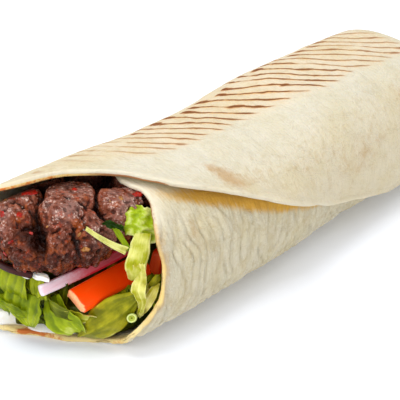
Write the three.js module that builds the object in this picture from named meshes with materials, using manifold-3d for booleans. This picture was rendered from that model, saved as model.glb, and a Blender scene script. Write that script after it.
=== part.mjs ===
// A rolled doner kebab sandwich lying on its seam: a grilled flatbread wound round a minced-meat
// kebab, shredded lettuce, tomato, red onion and white sauce. The far end is tucked in, and the
// near end is an open mouth that turns towards the right side.
//
// Millimetres, +Z up. The roll runs along Y with its mouth at -Y, and +X is the side where the
// last layer of bread ends in a loose flap. The origin is on the table under the middle of the roll.
//
// Angles round the roll are in degrees from the top, turning towards +X. The bread is wound
// through more than one turn, so its angle runs on past 360.
import * as THREE from 'three';
import { mergeVertices } from 'three/addons/utils/BufferGeometryUtils.js';
import Module from 'manifold-3d';

const wasm = await Module();
wasm.setup();

// ---------------------------------------------------------------- driving dimensions

const clearance = 0.35; // between any two pieces

const roll = {
  farEnd: 129,
  roundTop: 2.3, // exponents of the section: 2 is an ellipse, more is squarer
  roundBase: 2.8,
  floorCut: 3.3, // height at which the table flattens the lowest layer
};

// The roll's section at stations along it: half width on the left and on the right of the
// axis, and half height. It bulges over the salad on the right of the mouth.
const stations = [
  { y: -96, left: 37.5, right: 38, half: 34.8 },
  { y: -60, left: 36.5, right: 41.3, half: 34 },
  { y: -20, left: 35, right: 42, half: 32 },
  { y: 20, left: 34.5, right: 40.5, half: 30.6 },
  { y: 60, left: 34.5, right: 38, half: 31.4 },
  { y: 100, left: 34, right: 37, half: 30.4 },
  { y: 129, left: 33, right: 36, half: 29.2 },
];

const bread = {
  thickness: 2.2,
  pitch: 2.9, // growth of the winding in one turn: the thickness and the air between layers
  fullAngle: 450, // the angle at which the outside of the winding is the roll's full size
  innerAngle: -75, // the hidden start of the winding
  tuckAngle: 123, // from here on the bread reaches the middle of the tucked end
  tuckFade: 36, // the fold's width, in degrees
  angleStep: 9,
  tubeRows: 11,
  cornerRadius: 6,
  cornerRows: 3,
  capRows: 3,
  capHole: 2.2, // radius left at the middle of the tucked end
  pleats: 7,
  pleatDepth: 0.9,
  capHollow: 1.5,
  flapLift: 3.0, // how far the loose edge stands off the layer below
  lipCurl: 1.3, // how far the upper lip of the mouth curls out
};
bread.outerAngle = bread.tuckAngle + 360; // the loose edge of the flap

// The front edge of the bread: its angle round the winding, and its place along the roll.
// It starts hidden, forms the right, lower and left lips of the mouth, passes over the top
// and runs back along the right side as the edge of the flap.
const frontEdge = [
  [-75, -38], [0, -44], [8, -47], [14, -48.5], [20, -47.5], [26, -46], [32, -47], [44, -51.5],
  [58, -55.5], [74, -57], [90, -57.5], [104, -61], [116, -66],
  [128, -69], [150, -66], [168, -69], [180, -76], [204, -85], [240, -92], [270, -95.5],
  [305, -95], [328, -92], [343, -86], [352, -73], [361, -61.5], [373, -50.5], [383, -43.5],
  [395, -37], [411, -19.5], [425, -4.5], [446, 22], [462, 57], [483, 88],
];

const meat = {
  x: -6, y: -44, z: 48.5, // the widest place of the log
  halfWidth: 19.5, halfHeight: 8.2, // to the bottom of the grooves between its lumps
  toFront: 43, toBack: 134,
  squareness: 2.8, // exponent of its form: 2 is an egg, more is squarer
  lumpHeight: 8.5,
  lumpRadius: 11.5,
  lumpTallness: 1.3, // how much taller than wide the lumps are
  detail: 9,
};

// The lumps that the squeezing hand left at the mouth: their middles, halfway up the lumps.
const mouthLumps = [
  [-12, -85, 51], [-14, -86, 42], [-26, -76, 49], [-17, -70, 58], [5, -75, 56], [7, -76, 46],
  [-2, -60, 60], [2, -68, 41], [14, -53, 58], [13, -57, 47], [10, -38, 58], [-22, -50, 57],
  [-12, -42, 60], [-5, -81, 39],
];

const tomato = { height: 9.5, thickness: 6 };
const onion = { height: 3.8, thickness: 2.4 };
const sauce = { depth: 2.4, thin: 0.7, wave: 0.5, from: 174, to: 248, back: 88, frontGap: 3 };
const leafThickness = 1.3;

// ---------------------------------------------------------------- small helpers

const radians = THREE.MathUtils.degToRad;
const lerp = THREE.MathUtils.lerp;

function smoothstep(from, to, t) {
  const u = THREE.MathUtils.clamp((t - from) / (to - from), 0, 1);
  return u * u * (3 - 2 * u);
}

function signedPower(v, power) {
  return Math.sign(v) * Math.abs(v) ** power;
}

// A number between -1 and 1 that always comes out the same for the same seed.
function scatter(seed) {
  const s = Math.sin(seed * 127.1 + 11.7) * 43758.5453;
  return 2 * (s - Math.floor(s)) - 1;
}

// A smooth curve through [where, value] pairs.
function through(keys, where) {
  const last = keys.length - 2;
  let i = 0;
  while (i < last && where > keys[i + 1][0]) i += 1;
  const [x0, y0] = keys[i];
  const [x1, y1] = keys[i + 1];
  const slope = (a, b) => (b[1] - a[1]) / (b[0] - a[0]);
  const m0 = slope(keys[Math.max(i - 1, 0)], keys[i + 1]);
  const m1 = slope(keys[i], keys[Math.min(i + 2, last + 1)]);
  const t = THREE.MathUtils.clamp((where - x0) / (x1 - x0), 0, 1);
  const h = x1 - x0;
  const t2 = t * t;
  const t3 = t2 * t;
  return (2 * t3 - 3 * t2 + 1) * y0 + (t3 - 2 * t2 + t) * h * m0
    + (3 * t2 - 2 * t3) * y1 + (t3 - t2) * h * m1;
}

// ---------------------------------------------------------------- closed meshes and solids

function closedGeometry(points, faces) {
  const geometry = new THREE.BufferGeometry().setFromPoints(points);
  let volume = 0;
  for (const [a, b, c] of faces) {
    volume += points[a].dot(new THREE.Vector3().crossVectors(points[b], points[c]));
  }
  geometry.setIndex(faces.flatMap(([a, b, c]) => (volume > 0 ? [a, b, c] : [a, c, b])));
  return geometry;
}

// A sheet with thickness, from two grids of points that match row by row.
function sheetGeometry(outer, inner) {
  const rows = outer.length;
  const columns = outer[0].length;
  const side = rows * columns;
  const faces = [];
  const at = (i, j) => i * columns + j;
  for (let i = 0; i < rows - 1; i += 1) {
    for (let j = 0; j < columns - 1; j += 1) {
      const [a, b, c, d] = [at(i, j), at(i + 1, j), at(i + 1, j + 1), at(i, j + 1)];
      faces.push([a, b, c], [a, c, d], [side + a, side + c, side + b], [side + a, side + d, side + c]);
    }
  }
  const rim = [];
  for (let j = 0; j < columns - 1; j += 1) rim.push(at(0, j));
  for (let i = 0; i < rows - 1; i += 1) rim.push(at(i, columns - 1));
  for (let j = columns - 1; j > 0; j -= 1) rim.push(at(rows - 1, j));
  for (let i = rows - 1; i > 0; i -= 1) rim.push(at(i, 0));
  rim.forEach((a, k) => {
    const b = rim[(k + 1) % rim.length];
    faces.push([a, b, side + b], [a, side + b, side + a]);
  });
  return closedGeometry([...outer.flat(), ...inner.flat()], faces);
}

// A closed bar through rings of points, with a flat fan at each end.
function barGeometry(rings) {
  const count = rings[0].length;
  const points = rings.flat();
  const faces = [];
  for (let i = 0; i < rings.length - 1; i += 1) {
    for (let k = 0; k < count; k += 1) {
      const [a, b] = [i * count + k, i * count + ((k + 1) % count)];
      faces.push([a, b, b + count], [a, b + count, a + count]);
    }
  }
  for (const [ring, start] of [[rings[0], 0], [rings.at(-1), points.length - count]]) {
    const middle = ring.reduce((sum, p) => sum.add(p), new THREE.Vector3()).divideScalar(count);
    points.push(middle);
    for (let k = 0; k < count; k += 1) {
      const edge = [start + k, start + ((k + 1) % count)];
      faces.push(start === 0 ? [edge[1], edge[0], points.length - 1] : [edge[0], edge[1], points.length - 1]);
    }
  }
  return closedGeometry(points, faces);
}

function bareGeometry(geometry) {
  const bare = geometry.clone();
  bare.deleteAttribute('normal');
  bare.deleteAttribute('uv');
  return bare;
}

function solidOf(geometry) {
  const merged = mergeVertices(bareGeometry(geometry), 1e-4);
  return new wasm.Manifold(new wasm.Mesh({
    numProp: 3,
    vertProperties: merged.attributes.position.array,
    triVerts: new Uint32Array(merged.index.array),
  }));
}

function geometryOf(solid) {
  const mesh = solid.getMesh();
  const geometry = new THREE.BufferGeometry();
  geometry.setAttribute('position', new THREE.BufferAttribute(mesh.vertProperties, 3));
  geometry.setIndex(new THREE.BufferAttribute(mesh.triVerts, 1));
  return geometry;
}

// Cutting can leave loose scraps: only the largest body is kept.
function largestBody(solid) {
  return solid.decompose().reduce((best, body) => (body.volume() > best.volume() ? body : best));
}

function union(solids) {
  return solids.reduce((sum, s) => sum.add(s));
}

function boxSolid(low, high) {
  const size = new THREE.Vector3().subVectors(high, low);
  const box = new THREE.BoxGeometry(size.x, size.y, size.z);
  box.translate(...new THREE.Vector3().addVectors(low, high).multiplyScalar(0.5));
  return solidOf(box);
}

// ---------------------------------------------------------------- the roll's section

function station(y, key) {
  return through(stations.map((s) => [s.y, s[key]]), y);
}

// A point at a depth below the outermost layer. layerDepth is the depth below the sheet's own
// outside, which the table presses flat. shrink draws the section in towards its middle.
function sectionPoint(angle, y, inset, layerDepth, shrink = 1) {
  const turn = radians(angle);
  const a = station(y, Math.sin(turn) > 0 ? 'right' : 'left');
  const b = station(y, 'half');
  const power = 2 / (Math.cos(turn) > 0 ? roll.roundTop : roll.roundBase);
  const x = (a - inset) * signedPower(Math.sin(turn), power) * shrink;
  const z = b + (b - inset) * signedPower(Math.cos(turn), power) * shrink;
  return new THREE.Vector3(x, y, Math.max(z, roll.floorCut + layerDepth));
}

// The depth of the winding's outside at an angle of the winding.
function windingInset(angle) {
  return bread.pitch * (bread.fullAngle - angle) / 360;
}

// The inside of the bread, as a depth, at an angle round the roll.
function insideInset(angle) {
  const wound = angle >= bread.innerAngle + 360 ? angle - 360 : angle;
  return windingInset(wound) + bread.thickness;
}

// ---------------------------------------------------------------- flatbread

// How far the bread stands off its winding: the flap's loose edge, and the curled upper lip.
function breadLift(angle, y) {
  const fromEdge = y - through(frontEdge, angle);
  const flap = smoothstep(378, 402, angle) * (1 - smoothstep(432, 462, angle));
  const lip = smoothstep(285, 325, angle) * (1 - smoothstep(372, 396, angle));
  return bread.flapLift * flap * Math.exp(-((fromEdge / 13) ** 2))
    + bread.lipCurl * lip * Math.exp(-((fromEdge / 7) ** 2));
}

// One place on the sheet. along is a length on the profile that runs down the tube, round the
// corner and in to the middle of the tucked end.
function breadPoint(angle, along, depth) {
  const tubeEnd = roll.farEnd - bread.cornerRadius;
  const arc = bread.cornerRadius * Math.PI / 2;
  const inset = windingInset(angle) + depth;
  if (along <= tubeEnd) return sectionPoint(angle, along, inset - breadLift(angle, along), depth);
  if (along <= tubeEnd + arc) {
    const turn = (along - tubeEnd) / bread.cornerRadius;
    const reach = bread.cornerRadius - inset;
    const point = sectionPoint(angle, tubeEnd, bread.cornerRadius - reach * Math.cos(turn), depth);
    point.y = tubeEnd + reach * Math.sin(turn);
    return point;
  }
  const span = station(roll.farEnd, 'half') - bread.cornerRadius;
  const left = Math.max(span - (along - tubeEnd - arc), bread.capHole);
  const inwards = 1 - left / span;
  const point = sectionPoint(angle, tubeEnd, bread.cornerRadius, depth, left / span);
  const pleat = Math.sin(radians(angle) * bread.pleats + Math.sin(radians(angle) * 2));
  const folds = bread.pleatDepth * (1 + pleat) * Math.sin(Math.PI * inwards);
  point.y = roll.farEnd - inset - folds - bread.capHollow * inwards;
  return point;
}

function breadRows(angle, depth) {
  const tubeEnd = roll.farEnd - bread.cornerRadius;
  const arc = bread.cornerRadius * Math.PI / 2;
  const cap = station(roll.farEnd, 'half') - bread.cornerRadius - bread.capHole;
  const tucked = smoothstep(bread.tuckAngle - bread.tuckFade, bread.tuckAngle, angle);
  const start = through(frontEdge, angle);
  const end = tubeEnd - 6 * (1 - tucked);
  const reach = Math.max(tucked, 0.04);
  const rows = [];
  for (let j = 0; j <= bread.tubeRows; j += 1) {
    rows.push(breadPoint(angle, lerp(start, end, (j / bread.tubeRows) ** 1.15), depth));
  }
  for (let j = 1; j <= bread.cornerRows; j += 1) {
    rows.push(breadPoint(angle, end + reach * arc * j / bread.cornerRows, depth));
  }
  for (let j = 1; j <= bread.capRows; j += 1) {
    rows.push(breadPoint(angle, end + reach * (arc + cap * j / bread.capRows), depth));
  }
  return rows;
}

function makeFlatbread() {
  const outer = [];
  const inner = [];
  for (let angle = bread.innerAngle; angle <= bread.outerAngle; angle += bread.angleStep) {
    outer.push(breadRows(angle, 0));
    inner.push(breadRows(angle, bread.thickness));
  }
  return sheetGeometry(outer, inner);
}

// The room inside the bread, kept a little clear of it, with its mouth end run on forwards.
function roomInside(gap, front = -112, back = roll.farEnd - bread.cornerRadius - 9) {
  const rings = [];
  const steps = 18;
  for (let i = 0; i <= steps; i += 1) {
    const y = lerp(front, back, i / steps);
    const ring = [];
    for (let angle = bread.innerAngle; angle < bread.innerAngle + 360; angle += bread.angleStep) {
      ring.push(sectionPoint(angle, y, insideInset(angle) + gap, bread.thickness + gap));
    }
    rings.push(ring);
  }
  return solidOf(barGeometry(rings));
}

// ---------------------------------------------------------------- meat

// A point on the smooth log in a direction from its middle, and the way its surface faces there.
function logPoint(direction) {
  const length = direction.y < 0 ? meat.toFront : meat.toBack;
  const size = new THREE.Vector3(meat.halfWidth, length, meat.halfHeight);
  const powers = direction.toArray().map((v) => Math.abs(v) ** meat.squareness);
  const reach = (powers[0] + powers[1] + powers[2]) ** (-1 / meat.squareness);
  const point = direction.clone().multiply(size).multiplyScalar(reach);
  const slope = direction.toArray().map((v) => signedPower(v, meat.squareness - 1));
  const facing = new THREE.Vector3(...slope).divide(size).normalize();
  point.add(new THREE.Vector3(meat.x, meat.y, meat.z));
  return { point, facing };
}

// Lumps all along the log, behind the ones at the mouth.
function allLumps() {
  const lumps = mouthLumps.map((place) => new THREE.Vector3(...place));
  for (let row = 0; row < 4; row += 1) {
    for (let k = 0; k < 5; k += 1) {
      const turn = radians(72 * k + 30 * row + 14 * scatter(row * 5 + k));
      const along = 0.22 * row + 0.25 + 0.04 * scatter(row + k);
      const direction = new THREE.Vector3(Math.cos(turn), along, Math.sin(turn)).normalize();
      const { point, facing } = logPoint(direction);
      lumps.push(point.addScaledVector(facing, meat.lumpHeight / 2));
    }
  }
  return lumps;
}

function meatRelief(point, lumps) {
  const size = new THREE.Vector3(1, 1, meat.lumpTallness).multiplyScalar(meat.lumpRadius);
  const reach = lumps.map((lump) => {
    const away = point.clone().sub(lump).divide(size).length();
    return away < 1 ? Math.sqrt(1 - away * away) : 0;
  });
  return meat.lumpHeight * Math.max(...reach);
}

function meatSolid(grow) {
  const lumps = allLumps();
  const ball = mergeVertices(bareGeometry(new THREE.IcosahedronGeometry(1, meat.detail)), 1e-4);
  const place = ball.attributes.position;
  for (let i = 0; i < place.count; i += 1) {
    const { point, facing } = logPoint(new THREE.Vector3().fromBufferAttribute(place, i));
    const halfUp = point.clone().addScaledVector(facing, meat.lumpHeight / 2);
    point.addScaledVector(facing, meatRelief(halfUp, lumps) + grow);
    place.setXYZ(i, point.x, point.y, point.z);
  }
  return solidOf(ball);
}

// ---------------------------------------------------------------- strips

// A strip with a rounded section along a curve. up points along the section's height.
function stripSolid(path, up, height, thickness, grow, { steps = 8, corners = 10, taper = 0.75 } = {}) {
  const curve = new THREE.CatmullRomCurve3(path.map((p) => new THREE.Vector3(...p)));
  const rings = [];
  for (let i = 0; i <= steps; i += 1) {
    const t = i / steps;
    const point = curve.getPointAt(t);
    const ahead = curve.getTangentAt(t);
    const across = new THREE.Vector3().crossVectors(ahead, new THREE.Vector3(...up)).normalize();
    const tall = new THREE.Vector3().crossVectors(across, ahead).normalize();
    const atEnd = i === 0 || i === steps;
    if (atEnd) point.addScaledVector(ahead, i === 0 ? -grow : grow);
    const full = atEnd ? taper : 1;
    const ring = [];
    for (let k = 0; k < corners; k += 1) {
      const turn = radians(360 * (k + 0.5) / corners);
      const h = (height * full / 2 + grow) * signedPower(Math.cos(turn), 0.45);
      const w = (thickness * full / 2 + grow) * signedPower(Math.sin(turn), 0.45);
      ring.push(point.clone().addScaledVector(tall, h).addScaledVector(across, w));
    }
    rings.push(ring);
  }
  return solidOf(barGeometry(rings));
}

const strips = {
  tomato_strip: (grow) => stripSolid(
    [[13.6, -80, 25.9], [13.6, -62, 25.6], [13.6, -44, 25], [13.6, -20, 24.4]],
    [-0.85, 0, 0.53], tomato.height, tomato.thickness, grow, { taper: 0.88 },
  ),
  tomato_slice: (grow) => stripSolid(
    [[27, -50, 34.4], [26.5, -34, 34.6], [25, -14, 34]],
    [0.25, 0, 1], 11, 5, grow, { taper: 0.6, steps: 6 },
  ),
  onion_strip: (grow) => stripSolid(
    [[3.2, -86.5, 30], [5, -76, 30.4], [7.6, -60, 31.2], [8.6, -40, 31.6]],
    [-0.5, 0, 1], onion.height, onion.thickness, grow, { taper: 0.7 },
  ),
  onion_slice: (grow) => stripSolid(
    [[-27, -82, 35.4], [-19, -88.5, 36], [-8, -91, 36.2], [2, -88.5, 35]],
    [0, -0.15, 1], 3.2, 1.8, grow, { taper: 0.7 },
  ),
};

// ---------------------------------------------------------------- sauce

function sauceSolid(grow) {
  const outer = [];
  const inner = [];
  const columns = 12;
  const rows = 9;
  for (let i = 0; i <= columns; i += 1) {
    const share = i / columns;
    const angle = lerp(sauce.from - grow, sauce.to + grow, share);
    const edge = Math.sin(Math.PI * share) ** 0.5;
    const front = through(frontEdge, angle) + sauce.frontGap - grow + 2.4 * Math.sin(angle * 0.23);
    const low = [];
    const high = [];
    for (let j = 0; j <= rows; j += 1) {
      const y = lerp(front, sauce.back + grow, (j / rows) ** 1.4);
      const full = sauce.depth + sauce.wave * Math.sin(j * 2.1 + i);
      const depth = lerp(sauce.thin, full, edge * smoothstep(-0.2, 0.25, j / rows));
      const base = insideInset(angle) + clearance;
      low.push(sectionPoint(angle, y, base - grow, bread.thickness + clearance - grow));
      high.push(sectionPoint(angle, y, base + depth + grow, bread.thickness + clearance + depth + grow));
    }
    outer.push(low);
    inner.push(high);
  }
  return solidOf(sheetGeometry(outer, inner));
}

// ---------------------------------------------------------------- lettuce

// A torn leaf: spine is its middle line, side the way it spreads, width its half widths along
// the spine, cup its bend across, ruffle the height of the waves along its edges.
function leafSolid({ spine, side, width, cup = 0, ruffle = 0, waves = 3, steps = 7 }) {
  const curve = new THREE.CatmullRomCurve3(spine.map((p) => new THREE.Vector3(...p)));
  const wide = new THREE.Vector3(...side).normalize();
  const across = 4;
  const front = [];
  const back = [];
  const widths = width.map((w, k) => [k / (width.length - 1), w]);
  for (let i = 0; i <= steps; i += 1) {
    const t = i / steps;
    const middle = curve.getPointAt(t);
    const face = new THREE.Vector3().crossVectors(curve.getTangentAt(t), wide).normalize();
    const half = through(widths, t);
    const frontRow = [];
    const backRow = [];
    for (let j = 0; j <= across; j += 1) {
      const v = 2 * j / across - 1;
      const wave = ruffle * v * v * Math.sin(2 * Math.PI * waves * t + (v > 0 ? 0 : 1.9));
      const point = middle.clone().addScaledVector(wide, half * v).addScaledVector(face, cup * v * v + wave);
      frontRow.push(point.clone().addScaledVector(face, leafThickness / 2));
      backRow.push(point.clone().addScaledVector(face, -leafThickness / 2));
    }
    front.push(frontRow);
    back.push(backRow);
  }
  return solidOf(sheetGeometry(front, back));
}

const leaves = [
  // lower right, the large pale leaf, shaped like a boat
  { spine: [[10, -72, 7.2], [15.5, -71.8, 12.5], [22, -69, 19.5], [29, -65.5, 28]],
    side: [-0.45, -0.37, 0.82], width: [0.8, 4.4, 5.2, 3.6], cup: -1.8, ruffle: 0.5, waves: 1.5 },
  // lower middle, a flat triangle of leaf
  { spine: [[-1, -77, 22.5], [3, -79.5, 17.5], [6.5, -78, 12], [10.5, -73.8, 7.6]],
    side: [0.8, 0.3, 0.45], width: [3, 6.4, 6.6, 2], cup: 1.2, ruffle: 0.7, waves: 1.5 },
  // left, hanging over the sauce
  { spine: [[-9.7, -80, 23], [-9.5, -84, 18.5], [-9.5, -83.5, 12], [-9.3, -80, 6.8]],
    side: [0.93, 0.35, 0], width: [3.6, 7.6, 7.2, 1.6], cup: 1.2, ruffle: 0.9, waves: 1.5 },
  { spine: [[-20, -82, 22], [-19, -87, 17.5], [-18, -87.5, 12.5], [-17.5, -84, 9]],
    side: [0.9, 0.2, 0], width: [4, 6.4, 6, 2.6], cup: 1.3, ruffle: 0.9, waves: 2 },
  // under the meat, a crumpled bunch
  { spine: [[-12, -82, 33.5], [-12, -87.5, 30], [-13, -87.5, 25], [-14, -84, 19.5]],
    side: [0.92, 0.28, 0.1], width: [4, 6.6, 6.4, 3.6], cup: 1.5, ruffle: 0.9, waves: 2 },
  { spine: [[-25, -80, 33], [-24, -88, 28.5], [-24, -89, 22.5], [-23, -85, 16.5]],
    side: [0.9, 0, 0.2], width: [3.5, 6, 6, 3.4], cup: 1.4, ruffle: 0.8, waves: 2 },
  { spine: [[-4.5, -80, 32], [-3.2, -85, 29.6], [-1.8, -85.2, 25.2], [-1, -81, 21]],
    side: [0.9, 0.3, 0.15], width: [3, 4.7, 4.6, 3], cup: 1.3, ruffle: 0.7, waves: 2 },
  { spine: [[2, -76, 25.5], [5, -80, 24.8], [8, -79, 22.8], [10.5, -75.5, 20.6]],
    side: [0.1, -0.3, 0.95], width: [2, 3, 3, 2], cup: 1.2, ruffle: 0.5, waves: 1 },
  // right, the curled leaf that stands in front of the tomato, with its torn tails
  { spine: [[26, -54, 49.5], [26.6, -58, 44], [26, -61, 38], [24, -62.5, 32.5]],
    side: [0.77, 0.64, 0], width: [2.4, 3.9, 3.9, 1.6], cup: -1.6, ruffle: 0.4, waves: 1.5 },
  { spine: [[26, -60.8, 37.5], [29.2, -58.3, 31], [29.6, -58.5, 24], [27, -61, 15]],
    side: [0.7, 0.64, 0.3], width: [1.7, 1.6, 1.8, 1], cup: 0.6, ruffle: 0.4, waves: 2 },
  { spine: [[31, -54.5, 33], [31.6, -56.5, 27.5], [30, -59, 21.5], [28, -61.5, 15.5]],
    side: [0.6, 0.7, 0.3], width: [1.6, 2.1, 1.9, 1.1], cup: 0.6, ruffle: 0.4, waves: 1 },
  // between the meat and the right lip, a frilled leaf
  { spine: [[17.5, -59, 52.5], [21, -54.5, 53], [26, -49.5, 51.2], [30.5, -40, 46]],
    side: [-0.25, 0.35, 0.9], width: [3, 5.8, 6.6, 5], cup: -1.4, ruffle: 1.1, waves: 2.5 },
  // a ribbed shred that lies against the meat, and a thin leaf beside it
  { spine: [[18, -76, 57.4], [19.8, -71, 52.3], [21.4, -65.5, 47.4], [23.4, -60.5, 43.6]],
    side: [0.3, 0.2, 0.9], width: [0.9, 1.1, 1.4, 1.7], cup: 0.4 },
  { spine: [[17, -64, 52.5], [19.6, -62.6, 50.4], [21.6, -61.4, 47], [23.4, -60, 43.4]],
    side: [0.5, 0.5, 0.7], width: [0.7, 1.2, 1, 0.9], cup: 0.3 },
];

const heap = {
  top: 31, rightTop: 46, // under the meat, and beside it on the right
  shelf: 21, // where the strips lie at the mouth
  front: [0, -74, 6],
  slope: [[1, 0.42, 0], [-0.42, 1, 0.22], [0.09, -0.22, 1.18]],
};

const springOnion = { centre: [27.3, -64.2, 18], radius: 2.1, length: 6 };

function springOnionSolid() {
  const ring = new THREE.CylinderGeometry(springOnion.radius, springOnion.radius, springOnion.length, 12);
  ring.translate(...springOnion.centre);
  return solidOf(ring);
}

// The heap: a core that fills the lower half of the roll, sloping at the mouth as the bread's
// edge does and stepping back round the strips that show, with the leaves fused to it.
function lettuceSolid(room, others) {
  const corner = (x, y, z) => new THREE.Vector3(x, y, z);
  const before = new THREE.BoxGeometry(200, 100, 200);
  before.translate(0, -50, 0);
  before.applyMatrix4(new THREE.Matrix4().makeBasis(...heap.slope.map((v) => corner(...v).normalize())));
  before.translate(...heap.front);
  const core = union([
    boxSolid(corner(-40, -100, -1), corner(40, roll.farEnd, heap.top)),
    boxSolid(corner(16, -40, 20), corner(40, roll.farEnd, heap.rightTop)),
  ]);
  const mouthRoom = union([
    solidOf(before),
    boxSolid(corner(0, -100, 24), corner(42, -62, 60)),
    boxSolid(corner(8, -100, heap.shelf), corner(42, -42, 60)),
  ]);
  const whole = union([core.subtract(mouthRoom), ...leaves.map(leafSolid), springOnionSolid()]);
  return others.reduce((left, other) => left.subtract(other), whole.intersect(room));
}

// ---------------------------------------------------------------- the sandwich

const colours = {
  flatbread: { color: 0xeadfc0, roughness: 0.75 },
  kebab_meat: { color: 0x5f3a2c, roughness: 0.5 },
  lettuce: { color: 0x93ad28, roughness: 0.45 },
  tomato_strip: { color: 0xe8380c, roughness: 0.25 },
  tomato_slice: { color: 0xb52c10, roughness: 0.25 },
  onion_strip: { color: 0xd3b3bd, roughness: 0.35 },
  onion_slice: { color: 0x5c2a35, roughness: 0.35 },
  sauce: { color: 0xf4efe4, roughness: 0.3 },
};

const sandwich = new THREE.Group();

function addPiece(name, geometry) {
  const piece = new THREE.Mesh(geometry, new THREE.MeshStandardMaterial({ ...colours[name], metalness: 0 }));
  piece.name = name;
  piece.material.name = name;
  sandwich.add(piece);
}

const room = roomInside(clearance + 0.2);
const meatBody = largestBody(meatSolid(0).intersect(room));

addPiece('flatbread', makeFlatbread());
addPiece('kebab_meat', geometryOf(meatBody));
addPiece('sauce', geometryOf(largestBody(sauceSolid(0))));
for (const [name, strip] of Object.entries(strips)) {
  addPiece(name, geometryOf(largestBody(strip(0).subtract(meatSolid(clearance)).intersect(room))));
}
const grownStrips = Object.values(strips).map((strip) => strip(clearance));
const around = [meatSolid(clearance), sauceSolid(clearance), ...grownStrips];
addPiece('lettuce', geometryOf(largestBody(lettuceSolid(room, around))));

// The winding is wider on the flap's side, so the group is set over the middle of its own base.
const extent = new THREE.Box3().setFromObject(sandwich);
const middle = extent.getCenter(new THREE.Vector3());
sandwich.position.set(-middle.x, -middle.y, -extent.min.z);

export default sandwich;
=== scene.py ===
import random
from math import atan2, copysign, cos, degrees, exp, pi, radians, sin, sqrt

import bmesh
import bpy
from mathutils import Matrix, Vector, noise
from mathutils.bvhtree import BVHTree


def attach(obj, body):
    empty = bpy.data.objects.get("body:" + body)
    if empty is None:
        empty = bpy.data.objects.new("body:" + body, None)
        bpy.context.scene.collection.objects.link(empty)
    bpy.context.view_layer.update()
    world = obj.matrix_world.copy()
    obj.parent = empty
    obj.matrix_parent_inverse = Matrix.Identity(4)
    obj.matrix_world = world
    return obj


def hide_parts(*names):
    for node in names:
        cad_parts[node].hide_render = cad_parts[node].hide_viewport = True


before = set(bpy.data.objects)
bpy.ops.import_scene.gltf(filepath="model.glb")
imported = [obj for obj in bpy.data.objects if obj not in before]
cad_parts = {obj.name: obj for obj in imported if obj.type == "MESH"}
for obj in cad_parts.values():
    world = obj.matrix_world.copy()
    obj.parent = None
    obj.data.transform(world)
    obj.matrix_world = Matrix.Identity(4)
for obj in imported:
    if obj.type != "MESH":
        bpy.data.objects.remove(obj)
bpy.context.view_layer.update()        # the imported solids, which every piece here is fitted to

print("frame loaded:", ", ".join(sorted(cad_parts)))

millimetre = 0.001
# in mm, from the roll's own axis on the table to the part's origin
rollShift = Vector((-3.381, -16.757, -3.3))


def smoothstep(start, end, value):
    t = min(max((value - start) / (end - start), 0), 1)
    return t * t * (3 - 2 * t)


# grows from 0 to 1 between the first two marks and falls back between the last two
def within(value, span):
    return smoothstep(span[0], span[1], value) * (1 - smoothstep(span[2], span[3], value))


def bell(value, reach, middle=0):
    return exp(-((value - middle) / reach) ** 2)


def lerp(a, b, t):
    return a + (b - a) * t


def signedPower(value, power):
    return copysign(abs(value) ** power, value)


# -1 to 1, the same each time for the same seed
def scatter(seed):
    s = sin(seed * 127.1 + 11.7) * 43758.5453
    return 2 * (s % 1) - 1


def drift(place):
    return Vector([noise.noise(place + Vector((k, 0, 0))) for k in (0, 31.7, 67.3)])


# two sizes of noise, the second half as strong
def twoNoises(first, second):
    return noise.noise(first) + 0.5 * noise.noise(second)


# a smooth curve through (where, value) pairs
def through(keys, where):
    last = len(keys) - 2
    i = 0
    while i < last and where > keys[i + 1][0]:
        i += 1
    (x0, y0), (x1, y1) = keys[i], keys[i + 1]
    before, after = keys[max(i - 1, 0)], keys[min(i + 2, last + 1)]
    slopeIn = (y1 - before[1]) / (x1 - before[0])
    slopeOut = (after[1] - y0) / (after[0] - x0)
    h = x1 - x0
    t = min(max((where - x0) / h, 0), 1)
    t2, t3 = t * t, t * t * t
    return ((2 * t3 - 3 * t2 + 1) * y0 + (t3 - 2 * t2 + t) * h * slopeIn
            + (3 * t2 - 2 * t3) * y1 + (t3 - t2) * h * slopeOut)


# a point and a direction on a smooth path, t from 0 to 1
def onPath(path, t):
    count = len(path) - 1
    at = min(max(t, 0), 1) * count
    i = min(int(at), count - 1)
    f = at - i
    p1, p2 = Vector(path[i]), Vector(path[i + 1])
    p0 = Vector(path[i - 1]) if i > 0 else 2 * p1 - p2
    p3 = Vector(path[i + 2]) if i + 2 <= count else 2 * p2 - p1
    square, cube = 2 * p0 - 5 * p1 + 4 * p2 - p3, 3 * p1 - 3 * p2 + p3 - p0
    point = 0.5 * (2 * p1 + (p2 - p0) * f + square * f * f + cube * f ** 3)
    ahead = 0.5 * (p2 - p0 + 2 * square * f + 3 * cube * f * f)
    return point, ahead.normalized()


# values of each vertex, which materials read by their names
def vertexValues(bm, names):
    layers = bm.verts.layers.float
    return {name: layers.get(name) or layers.new(name) for name in names.split()}


# a grid's vertices, each with its place across and along it from 0 to 1
def grid(bm, across, along):
    made = bmesh.ops.create_grid(bm, x_segments=across, y_segments=along, size=1)
    return [(v, (v.co.x + 1) / 2, (v.co.y + 1) / 2) for v in made["verts"]]


# the copy of a skin that an extrude makes
def extruded(bm, faces):
    made = bmesh.ops.extrude_face_region(bm, geom=faces)["geom"]
    return {g for g in made if isinstance(g, bmesh.types.BMVert)}


# joins a rolled-up grid along its seam and closes its two ends
def closeTube(bm, verts, reach):
    bmesh.ops.remove_doubles(bm, verts=verts, dist=reach)
    bmesh.ops.holes_fill(bm, edges=[e for e in bm.edges if e.is_boundary], sides=0)


def store(v, layers, **values):
    for name, value in values.items():
        v[layers[name]] = value


def linked(name, data):
    thing = bpy.data.objects.new(name, data)
    bpy.context.scene.collection.objects.link(thing)
    return thing


def meshObject(bm, name, material):
    mesh = bpy.data.meshes.new(name)
    bm.to_mesh(mesh)
    bm.free()
    mesh.materials.append(material)
    return linked(name, mesh)


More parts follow.
